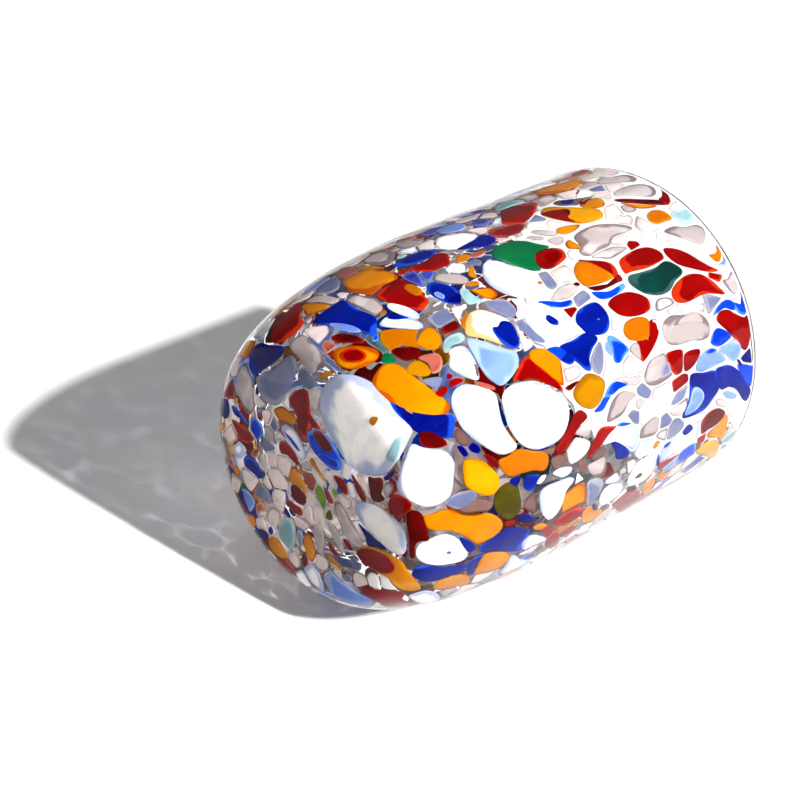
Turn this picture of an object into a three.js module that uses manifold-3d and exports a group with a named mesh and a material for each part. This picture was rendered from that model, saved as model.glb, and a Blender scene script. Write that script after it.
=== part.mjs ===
// Hand-blown glass tumbler with coloured glass chips fused into its outside, in millimetres.
// It is worked out standing on its foot (axis +Y here) and then laid on its side:
// in the finished part +X runs from the foot to the mouth, +Z is up, and z = 0 is the
// surface that it lies on.
import * as THREE from 'three';
import { mergeVertices } from 'three/addons/utils/BufferGeometryUtils.js';
import Module from 'manifold-3d';

const wasm = await Module();
wasm.setup();

// Driving dimensions
const HEIGHT = 106;          // foot to rim
const BODY_RADIUS = 40;      // outside radius of the straight part and of the rim
const FOOT_RADIUS = 27;      // flat underside
const TAPER_HEIGHT = 50;     // height at which the side becomes straight
const WALL = 3.4;            // wall thickness of the straight part
const BASE_THICKNESS = 10;   // clear glass under the hollow
const FLOOR_RADIUS = 17;     // flat bottom of the hollow
const HOLLOW_TAPER = 42;     // height over which the hollow widens
const LIP_ROUND = 1.5;       // radius of the fire-polished lip
const CHIP_DEPTH = 1.4;      // thickness of a chip
const GAP = 0.3;             // between a chip and its pocket
const SEGMENTS = 40;         // facets around the axis
const PRISM_REACH = 9;       // how far a chip's cutting prism reaches each way from the surface

// Fineness of the facets
const TAPER_STEPS = 6;       // facets along each quarter ellipse
const LIP_STEPS = 3;         // facets along each quarter of the lip
const LONG_CHIP = 11;        // a chip longer than this has a finer outline
const LONG_CHIP_STEPS = 12;
const SHORT_CHIP_STEPS = 8;
const OVAL_POWER = 0.85;     // below 1 the oval of a chip is fuller than an ellipse
const SLOPE_STEP = 0.05;     // half the height over which the slope of the side is taken
const WELD = 1e-4;           // points closer than this are one

// Colour and roughness of each kind of glass
const GLASS = {
  clear_glass: { color: 0xeaf1f2, roughness: 0.03 },
  cobalt: { color: 0x0a1eb4, roughness: 0.08 },
  navy: { color: 0x0c1266, roughness: 0.08 },
  azure: { color: 0x1664f0, roughness: 0.08 },
  sky: { color: 0x96b9f2, roughness: 0.1 },
  lavender: { color: 0x8f9cc8, roughness: 0.1 },
  red: { color: 0xbe0a05, roughness: 0.08 },
  maroon: { color: 0x6e1414, roughness: 0.08 },
  amber: { color: 0xfa9f06, roughness: 0.08 },
  orange: { color: 0xff8c0a, roughness: 0.08 },
  yellow: { color: 0xffcd08, roughness: 0.08 },
  ochre: { color: 0xe1a50a, roughness: 0.08 },
  white: { color: 0xf7f6f1, roughness: 0.1 },
  cream: { color: 0xf3eed8, roughness: 0.1 },
  green: { color: 0x238c5a, roughness: 0.08 },
  bottle_green: { color: 0x28645a, roughness: 0.08 },
  olive: { color: 0x6e7314, roughness: 0.08 },
};

// Chips on the side: colour, height above the foot, turn about the axis in degrees (0 is the
// top of the lying tumbler, 90 its front), length, width, lean of the length away from the
// axis in degrees, and taper of the outline
const SIDE_CHIPS = [
  ['cobalt', 9.5, 4, 16, 7, 90, 0],
  ['amber', 20.5, -6, 12.5, 10, 90, -0.2],
  ['red', 21, 11.5, 11.5, 8, 90, 0.4],
  ['red', 34, 4.5, 10, 5.5, 0, 0],
  ['white', 45, -2.5, 10, 7, 0, 0],
  ['red', 58, 23, 9.5, 5.5, 0, 0],
  ['green', 53, 15.5, 14, 8, 22, 0],
  ['white', 44, 23.5, 12, 10.5, 0, 0],
  ['cream', 28, 33, 11, 8, 25, 0],
  ['sky', 26.5, 45.5, 12, 9, 45, 0.2],
  ['white', 45.5, 41.5, 12, 9, 20, 0],
  ['cobalt', 56, 48, 9.5, 7, 10, 0],
  ['red', 67, -2.5, 15.5, 7, -25, 0],
  ['amber', 87.5, -11, 15.5, 7, 5, 0],
  ['yellow', 77.5, 9, 14, 7.5, 30, 0],
  ['orange', 64, 34, 11, 7, 30, 0],
  ['red', 80, 36.3, 14, 5.5, 0, 0],
  ['bottle_green', 80.5, 44.7, 16.5, 7, 3, 0],
  ['red', 94, 42.5, 14.5, 4.5, 40, 0.2],
  ['red', 69, 48.5, 12, 6.5, 10, 0],
  ['red', 90.5, 53, 17, 6.5, 15, 0.5],
  ['orange', 67, 57.5, 9, 6, 0, 0],
  ['red', 99, 70, 13, 7.5, 55, 0.2],
  ['cobalt', 86.5, 85.5, 20, 9, 6, -0.1],
  ['maroon', 89.8, 99, 9.5, 5.5, 0, 0],
  ['yellow', 94, 114.5, 15, 5, 45, 0.2],
  ['white', 78, 101.5, 13, 7, 0, 0],
  ['cobalt', 48.5, 54.5, 10, 7.5, 20, 0.1],
  ['ochre', 47.3, 67.5, 10.5, 8, 15, 0],
  ['amber', 38.2, 54, 10.5, 6, 55, 0],
  ['white', 31.5, 66, 16.5, 16, 0, 0],
  ['white', 17.3, 61, 18.5, 10, 78, 0],
  ['yellow', 14.5, 79, 10.5, 7.5, 60, 0],
  ['orange', 25.5, 80.5, 13.5, 6, 15, 0],
  ['olive', 20, 91, 10, 7, 75, 0],
  ['white', 33, 96.5, 11.5, 9, 80, 0],
  ['amber', 41.5, 101, 8, 7.5, 0, 0],
  ['cobalt', 22, 107, 14, 6.5, 10, 0],
  ['amber', 12, 97.5, 14.5, 8, 25, 0.2],
  ['cobalt', 30, 160, 15, 8, 20, 0],
  ['white', 62, 152, 14, 10, 0, 0],
  ['red', 92, 150, 13, 6, 30, 0.3],
  ['amber', 45, 200, 14, 9, -15, 0],
  ['bottle_green', 75, 200, 15, 8, 10, 0],
  ['white', 22, 220, 15, 11, 70, 0],
  ['orange', 95, 228, 12, 7, 0, 0],
  ['sky', 60, 238, 14, 9, 40, 0.2],
  ['red', 35, 262, 13, 7, -30, 0],
  ['cobalt', 82, 275, 16, 8, 15, 0],
];

// Chips on the foot and its rounded edge: colour, place across (front positive) and up from
// the axis, length, width, lean of the length up from across in degrees, and taper
const FOOT_CHIPS = [
  ['navy', -14, 22.5, 12.5, 6, 42, 0],
  ['lavender', -8, 17, 15, 9, 55, -0.2],
  ['red', -2.5, 13.5, 10, 4.5, 80, 0],
  ['white', 13.5, 16.5, 20, 18, 0, 0],
  ['azure', 3.5, 6, 11, 6, -35, 0],
  ['cobalt', -18.5, -5, 7.5, 4, -20, 0],
  ['sky', 10.5, -24, 13, 5.5, -10, 0],
  ['red', 19, -13, 10.5, 5, 0, 0],
  ['amber', 21.5, 26, 16, 5, -35, 0],
  ['maroon', 29.5, -3, 11, 4.5, 100, 0],
];

const DEG = Math.PI / 180;

function clampShare(value) {
  return Math.min(Math.max(value, 0), 1);
}

// Outside radius at a height: a quarter ellipse from the flat foot to the straight side.
// `inset` moves it inwards, for the depth to which the chips are sunk: the foot's edge and the
// widening above it each take half.
function outsideRadius(height, inset = 0) {
  const above = clampShare((height - inset) / (TAPER_HEIGHT - inset));
  const widening = Math.sqrt(1 - (1 - above) ** 2);
  return FOOT_RADIUS - inset / 2 + (BODY_RADIUS - FOOT_RADIUS - inset / 2) * widening;
}

// Outside profile as [radius, height]: across the flat foot, then up to the straight side
function outsideProfile(inset = 0) {
  const points = [[0, inset]];
  for (let i = 0; i <= TAPER_STEPS; i += 1) {
    const t = (i / TAPER_STEPS) * Math.PI / 2;
    const height = inset + (TAPER_HEIGHT - inset) * (1 - Math.cos(t));
    points.push([outsideRadius(height, inset), height]);
  }
  return points;
}

// Lip: a quarter circle from the outside to the top, and one from the top to the inside
function lipProfile() {
  const outer = BODY_RADIUS - LIP_ROUND;
  const inner = BODY_RADIUS - WALL + LIP_ROUND;
  const height = HEIGHT - LIP_ROUND;
  const quarter = [];
  for (let i = 0; i <= LIP_STEPS; i += 1) {
    quarter.push((i / LIP_STEPS) * Math.PI / 2);
  }
  return [
    ...quarter.map((t) => [outer + LIP_ROUND * Math.cos(t), height + LIP_ROUND * Math.sin(t)]),
    ...quarter.map((t) => [inner - LIP_ROUND * Math.sin(t), height + LIP_ROUND * Math.cos(t)]),
  ];
}

// Hollow, from its straight side down to its flat bottom
function hollowProfile() {
  const points = [];
  for (let i = TAPER_STEPS; i >= 0; i -= 1) {
    const t = (i / TAPER_STEPS) * Math.PI / 2;
    const radius = FLOOR_RADIUS + (BODY_RADIUS - WALL - FLOOR_RADIUS) * Math.sin(t);
    points.push([radius, BASE_THICKNESS + HOLLOW_TAPER * (1 - Math.cos(t))]);
  }
  points.push([0, BASE_THICKNESS]);
  return points;
}

// Solid inside the outside profile moved in by `inset`, up to `top`
function fullBlock(inset, top) {
  return toSolid(lathe([...outsideProfile(inset), [BODY_RADIUS - inset, top], [0, top]]));
}

function lathe(points) {
  const profile = points.map(([radius, height]) => new THREE.Vector2(radius, height));
  return new THREE.LatheGeometry(profile, SEGMENTS, Math.PI / SEGMENTS);
}

function toSolid(geometry) {
  const bare = geometry.index ? geometry.clone() : geometry;
  bare.deleteAttribute('normal');
  bare.deleteAttribute('uv');
  const merged = mergeVertices(bare, WELD);
  const index = merged.index.array;
  const kept = [];
  for (let i = 0; i < index.length; i += 3) {
    const [a, b, c] = [index[i], index[i + 1], index[i + 2]];
    if (a !== b && b !== c && c !== a) kept.push(a, b, c);
  }
  return new wasm.Manifold(new wasm.Mesh({
    numProp: 3,
    vertProperties: new Float32Array(merged.attributes.position.array),
    triVerts: new Uint32Array(kept),
  }));
}

function toGeometry(solid) {
  const mesh = solid.getMesh();
  const geometry = new THREE.BufferGeometry();
  geometry.setAttribute('position', new THREE.BufferAttribute(mesh.vertProperties, 3));
  geometry.setIndex(new THREE.BufferAttribute(mesh.triVerts, 1));
  return geometry;
}

// Outline of a chip: a rounded oval, drawn in at one end by its taper
function chipOutline(length, width, taper, grow) {
  const steps = length > LONG_CHIP ? LONG_CHIP_STEPS : SHORT_CHIP_STEPS;
  const shape = new THREE.Shape();
  for (let i = 0; i < steps; i += 1) {
    const t = (i / steps) * 2 * Math.PI;
    const along = Math.sign(Math.cos(t)) * Math.abs(Math.cos(t)) ** OVAL_POWER;
    const across = Math.sign(Math.sin(t)) * Math.abs(Math.sin(t)) ** OVAL_POWER;
    const x = (length / 2 + grow) * along;
    const y = (width / 2 + grow) * across * (1 - taper * along);
    if (i === 0) shape.moveTo(x, y);
    else shape.lineTo(x, y);
  }
  return shape;
}

// Prism through the surface, square to it at the chip's middle
function chipPrism(chip, grow) {
  const outline = chipOutline(chip.length, chip.width, chip.taper, grow);
  const prism = new THREE.ExtrudeGeometry(outline, { depth: 2 * PRISM_REACH, bevelEnabled: false });
  prism.translate(0, 0, -PRISM_REACH);
  const along = chip.direction.clone().addScaledVector(chip.normal, -chip.direction.dot(chip.normal));
  along.normalize();
  const across = new THREE.Vector3().crossVectors(chip.normal, along);
  const place = new THREE.Matrix4().makeBasis(along, across, chip.normal).setPosition(chip.place);
  return toSolid(prism.applyMatrix4(place));
}

// Outward direction of the side at a height and turn
function surfaceNormal(height, turn) {
  const above = height + SLOPE_STEP;
  const below = Math.max(height - SLOPE_STEP, 0);
  const widening = outsideRadius(above) - outsideRadius(below);
  const rise = above - below;
  return new THREE.Vector3(Math.sin(turn) * rise, -widening, Math.cos(turn) * rise).normalize();
}

function sideChip([colour, height, degrees, length, width, lean, taper]) {
  const turn = degrees * DEG;
  const radius = outsideRadius(height);
  const place = new THREE.Vector3(radius * Math.sin(turn), height, radius * Math.cos(turn));
  const around = new THREE.Vector3(Math.cos(turn), 0, -Math.sin(turn));
  const direction = around.multiplyScalar(Math.sin(lean * DEG));
  direction.y += Math.cos(lean * DEG);
  return { colour, length, width, taper, place, direction, normal: surfaceNormal(height, turn) };
}

function footChip([colour, across, up, length, width, lean, taper]) {
  const radius = Math.hypot(across, up);
  const turn = Math.atan2(across, up);
  const beyond = clampShare((radius - FOOT_RADIUS) / (BODY_RADIUS - FOOT_RADIUS));
  const height = TAPER_HEIGHT * (1 - Math.sqrt(1 - beyond ** 2));
  const flat = new THREE.Vector3(0, -1, 0);
  const normal = beyond > 0 ? surfaceNormal(height, turn) : flat;
  const place = new THREE.Vector3(across, height, up);
  const direction = new THREE.Vector3(Math.cos(lean * DEG), 0, Math.sin(lean * DEG));
  return { colour, length, width, taper, place, direction, normal };
}

function material(colour) {
  return new THREE.MeshStandardMaterial({ ...GLASS[colour], metalness: 0 });
}

// The chips fill a layer under the outside, and their pockets go a gap deeper. Both cores reach
// past the rim, so that nothing is left of either layer there.
const PAST_RIM = 1;
const chipCore = fullBlock(CHIP_DEPTH, HEIGHT + PAST_RIM);
const pocketCore = fullBlock(CHIP_DEPTH + GAP, HEIGHT + PAST_RIM);
const chipLayer = fullBlock(0, HEIGHT).subtract(chipCore);

let body = toSolid(lathe([...outsideProfile(), ...lipProfile(), ...hollowProfile()]));

const chips = [...SIDE_CHIPS.map(sideChip), ...FOOT_CHIPS.map(footChip)];
const counts = {};
const pockets = [];
const meshes = [];
for (const chip of chips) {
  let solid = chipPrism(chip, 0).intersect(chipLayer);
  for (const earlier of pockets) solid = solid.subtract(earlier);
  const pocket = chipPrism(chip, GAP).subtract(pocketCore);
  pockets.push(pocket);
  body = body.subtract(pocket);
  counts[chip.colour] = (counts[chip.colour] ?? 0) + 1;
  const mesh = new THREE.Mesh(toGeometry(solid), material(chip.colour));
  mesh.name = `${chip.colour}_chip_${String(counts[chip.colour]).padStart(2, '0')}`;
  meshes.push(mesh);
}

const vessel = new THREE.Mesh(toGeometry(body), material('clear_glass'));
vessel.name = 'clear_glass_body';

const lying = new THREE.Group();
lying.add(vessel, ...meshes);
lying.rotation.z = -Math.PI / 2;
lying.position.set(-HEIGHT / 2, 0, BODY_RADIUS * Math.cos(Math.PI / SEGMENTS));

const tumbler = new THREE.Group();
tumbler.add(lying);

export default tumbler;
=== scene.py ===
"""Hand-blown glass tumbler with coloured chips fused under its skin, lying on its side.

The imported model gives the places: its clear body, and one node for each large chip. This script
makes the fine surfaces around them, with numpy, and their glass materials, with nodes.
Lengths are in metres. The tumbler's axis is +X, from the foot to the mouth.
"""

import math

import bpy
import numpy as np
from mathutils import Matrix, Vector


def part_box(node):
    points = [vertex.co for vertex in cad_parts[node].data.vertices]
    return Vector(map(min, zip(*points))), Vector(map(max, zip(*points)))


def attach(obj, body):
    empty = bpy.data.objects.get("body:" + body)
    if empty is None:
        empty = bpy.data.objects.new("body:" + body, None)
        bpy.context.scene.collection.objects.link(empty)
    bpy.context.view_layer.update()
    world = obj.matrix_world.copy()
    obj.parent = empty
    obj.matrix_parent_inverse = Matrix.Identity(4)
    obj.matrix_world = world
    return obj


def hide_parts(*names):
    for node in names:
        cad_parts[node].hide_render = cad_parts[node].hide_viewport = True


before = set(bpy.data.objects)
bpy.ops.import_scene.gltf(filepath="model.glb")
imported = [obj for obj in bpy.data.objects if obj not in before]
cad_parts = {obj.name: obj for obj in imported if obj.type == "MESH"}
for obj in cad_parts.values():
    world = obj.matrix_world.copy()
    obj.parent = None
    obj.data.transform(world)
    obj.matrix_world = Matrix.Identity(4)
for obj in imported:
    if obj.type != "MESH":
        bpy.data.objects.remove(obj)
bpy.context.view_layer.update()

bl_info = {
    "name": "Chipped Glass Tumbler",
    "version": (1, 0, 0),
    "blender": (4, 5, 0),
    "location": "View3D > Sidebar > Tumbler",
    "description": "Builds a hand-blown tumbler with coloured glass chips around its packed solids",
    "category": "Object",
}

MM = 0.001
BODY_NODE = "clear_glass_body"

LOW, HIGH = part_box(BODY_NODE)
FOOT_X = LOW.x
HEIGHT = HIGH.x - LOW.x
RADIUS = (HIGH.z - LOW.z) / 2
AXIS_Z = LOW.z + RADIUS
AXIS_Y = (LOW.y + HIGH.y) / 2

# Steps of the surfaces
TAPER_STEPS = 160  # points up the taper, where places on the glass are looked up
SKIN_STEPS = {"taper": 64, "side": 48, "lip": 10, "wall": 36, "hollow": 48, "floor": 14}
TURN_STEPS = 240  # around the glass
WAVE_SETBACK = 0.4  # how far the waves are set in, as a share of their depth
SPOKES = 48  # around a chip
EDGE_STEPS = 15  # from the middle of a chip's outer face over its edge to that of its inner face
CURVE_STEPS = 12  # between two points of an outline

# Packed chips, whose outlines are taken from their solids
OUTER_FACE = 0.5 * MM  # vertices this near to the outside belong to a chip's outer face
FACE_SIDES = 32  # straight lines that bound the face
FACE_ROUNDING = 24  # the higher, the sharper the corners between them
FACE_GROWTH = 1.05  # makes up for the rounded corners
SMALLEST_REACH = 0.4 * MM
END_CHIPS = 3 * MM  # a chip whose middle is lower than this lies on the closed end
SAME_CHIP = 9 * MM  # a drawn chip no farther than this can stand for a packed one

# Chips
LARGE_THICKNESS, SPOT_THICKNESS = 1.3, 0.35  # times the thickness of the others
FULL_SIZE = 2.5 * MM  # chips smaller than this are thinner too
THINNEST = 0.35
LARGE_LIFT, SMALL_SINK, SCATTERED_SINK = (0, 0.1), (-0.04, 0.12), (0.0, 0.25)  # by chance, in mm
LARGE_SHADES, SHADES = (0.94, 1.06), (0.88, 1.08)  # how bright a chip is, by chance
EDGE_SHAKE, SHAKE_MEAN = 1.8, 0.92  # how far noise moves the edge colour, and its average

# Scattered chips: a size is the half width that a chip may take
TRIAL_PLACES, MOST_CHIPS = 9000, 700
LEAST_SIZE = 0.85 * MM
BARE_SIZES, DRAWN_SIZES = (1.3, 5.2), (1.0, 2.4)  # on the bare side and between drawn chips, in mm
LUCK = (0.75, 1.25)  # random weight of a place
CROWDING = 0.72  # a place closes when less than this share of its size is left
DRAWN_MIDDLE, DRAWN_HALF = 54, 78  # the turns where chips are drawn, in degrees
ROUND_FOOT = 6 * MM  # width of the rounding around the flat foot that goes with the closed end
RIM_MARGIN = 2.6 * MM
CHIP_SEARCH, CELL_SEARCH, OUTLINE_SEARCH = 14 * MM, 16 * MM, 10 * MM  # neighbours are this near
CELL_LEAST, OUTLINE_LEAST, CELL_MOST = 0.4, 0.35, 1.9  # a cell's reach as a share of its size
CELL_ROUNDING = 9
NEAR_AXIS = (1.0, 0.02, 0.03)  # where a cell's first spoke points before it is laid on the glass

# Light
PASSED = 0.3  # share of the lamps' light that a chip lets through, times its colour
GLASS_PASSED = (0.66, 0.66, 0.68)  # share of it that each face of the clear glass lets through
KEY_TOWARDS, KEY_DISTANCE = Vector((-0.06, -1.0, 0.62)), 5
FILL_TOWARDS, FILL_DISTANCE, FILL_SIZE = Vector((-1.0, -0.35, 0.3)), 1.5, 1.2
ROOM_COLOUR = (0.96, 0.97, 1, 1)
FLOOR_HALF, FLOOR_DROP = 2.0, 0.1 * MM

# Glass colours: the chip's own colour, the colour of its thin edge, that of the streaks in it,
# how far from its middle the edge begins, and its alpha
GLASSES = {
    "cobalt": ((0.001, 0.010, 0.19), (0.01, 0.06, 0.42), (0.001, 0.004, 0.13), 0.82, 1.0),
    "navy": ((0.001, 0.002, 0.11), (0.005, 0.012, 0.24), (0.001, 0.001, 0.07), 0.85, 1.0),
    "azure": ((0.002, 0.05, 0.50), (0.09, 0.26, 0.70), (0.002, 0.025, 0.36), 0.72, 1.0),
    "sky": ((0.14, 0.22, 0.52), (0.28, 0.37, 0.62), (0.18, 0.27, 0.56), 0.72, 1.0),
    "violet": ((0.04, 0.055, 0.31), (0.12, 0.14, 0.42), (0.02, 0.025, 0.20), 0.70, 0.95),
    "lavender": ((0.13, 0.15, 0.26), (0.30, 0.29, 0.34), (0.20, 0.21, 0.31), 0.75, 0.85),
    "red": ((0.21, 0.001, 0.001), (0.40, 0.026, 0.004), (0.15, 0.001, 0.001), 0.88, 1.0),
    "crimson": ((0.21, 0.012, 0.016), (0.34, 0.06, 0.05), (0.14, 0.006, 0.008), 0.80, 0.95),
    "maroon": ((0.10, 0.002, 0.002), (0.22, 0.012, 0.006), (0.045, 0.001, 0.001), 0.80, 1.0),
    "amber": ((0.46, 0.165, 0.001), (0.34, 0.070, 0.001), (0.52, 0.21, 0.001), 0.88, 1.0),
    "orange": ((0.40, 0.115, 0.001), (0.44, 0.18, 0.003), (0.37, 0.140, 0.001), 0.84, 1.0),
    "yellow": ((0.48, 0.23, 0.001), (0.40, 0.15, 0.001), (0.52, 0.27, 0.001), 0.86, 1.0),
    "ochre": ((0.34, 0.155, 0.002), (0.27, 0.105, 0.002), (0.40, 0.19, 0.002), 0.80, 1.0),
    "white": ((0.82, 0.78, 0.74), (0.36, 0.40, 0.54), (0.70, 0.68, 0.68), 0.72, 1.0),
    "cream": ((0.76, 0.70, 0.55), (0.46, 0.32, 0.13), (0.80, 0.76, 0.64), 0.88, 1.0),
    "green": ((0.001, 0.115, 0.037), (0.035, 0.20, 0.09), (0.002, 0.15, 0.055), 0.78, 1.0),
    "lime": ((0.20, 0.30, 0.03), (0.34, 0.42, 0.15), (0.10, 0.20, 0.015), 0.70, 0.9),
    "bottle_green": ((0.003, 0.044, 0.037), (0.035, 0.09, 0.08), (0.005, 0.028, 0.024), 0.86, 1.0),
    "olive": ((0.055, 0.042, 0.001), (0.12, 0.10, 0.006), (0.10, 0.09, 0.003), 0.82, 1.0),
    "aqua": ((0.20, 0.34, 0.35), (0.38, 0.52, 0.54), (0.28, 0.44, 0.46), 0.60, 0.88),
    "salmon": ((0.34, 0.10, 0.075), (0.46, 0.22, 0.16), (0.27, 0.06, 0.04), 0.65, 0.92),
    "smoke": ((0.17, 0.095, 0.08), (0.12, 0.07, 0.07), (0.22, 0.14, 0.13), 0.70, 0.85),
    "blush": ((0.41, 0.35, 0.34), (0.20, 0.15, 0.155), (0.56, 0.51, 0.49), 0.84, 0.80),
    "milk": ((0.76, 0.65, 0.61), (0.42, 0.33, 0.32), (0.62, 0.50, 0.46), 0.88, 0.78),
}

# The imported part has no slot of their own for these; this table names the nearest one
SLOT_OF = {
    "aqua": "sky",
    "violet": "cobalt",
    "crimson": "red",
    "salmon": "red",
    "lime": "green",
    "smoke": "clear_glass",
    "blush": "clear_glass",
    "milk": "clear_glass",
}

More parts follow.
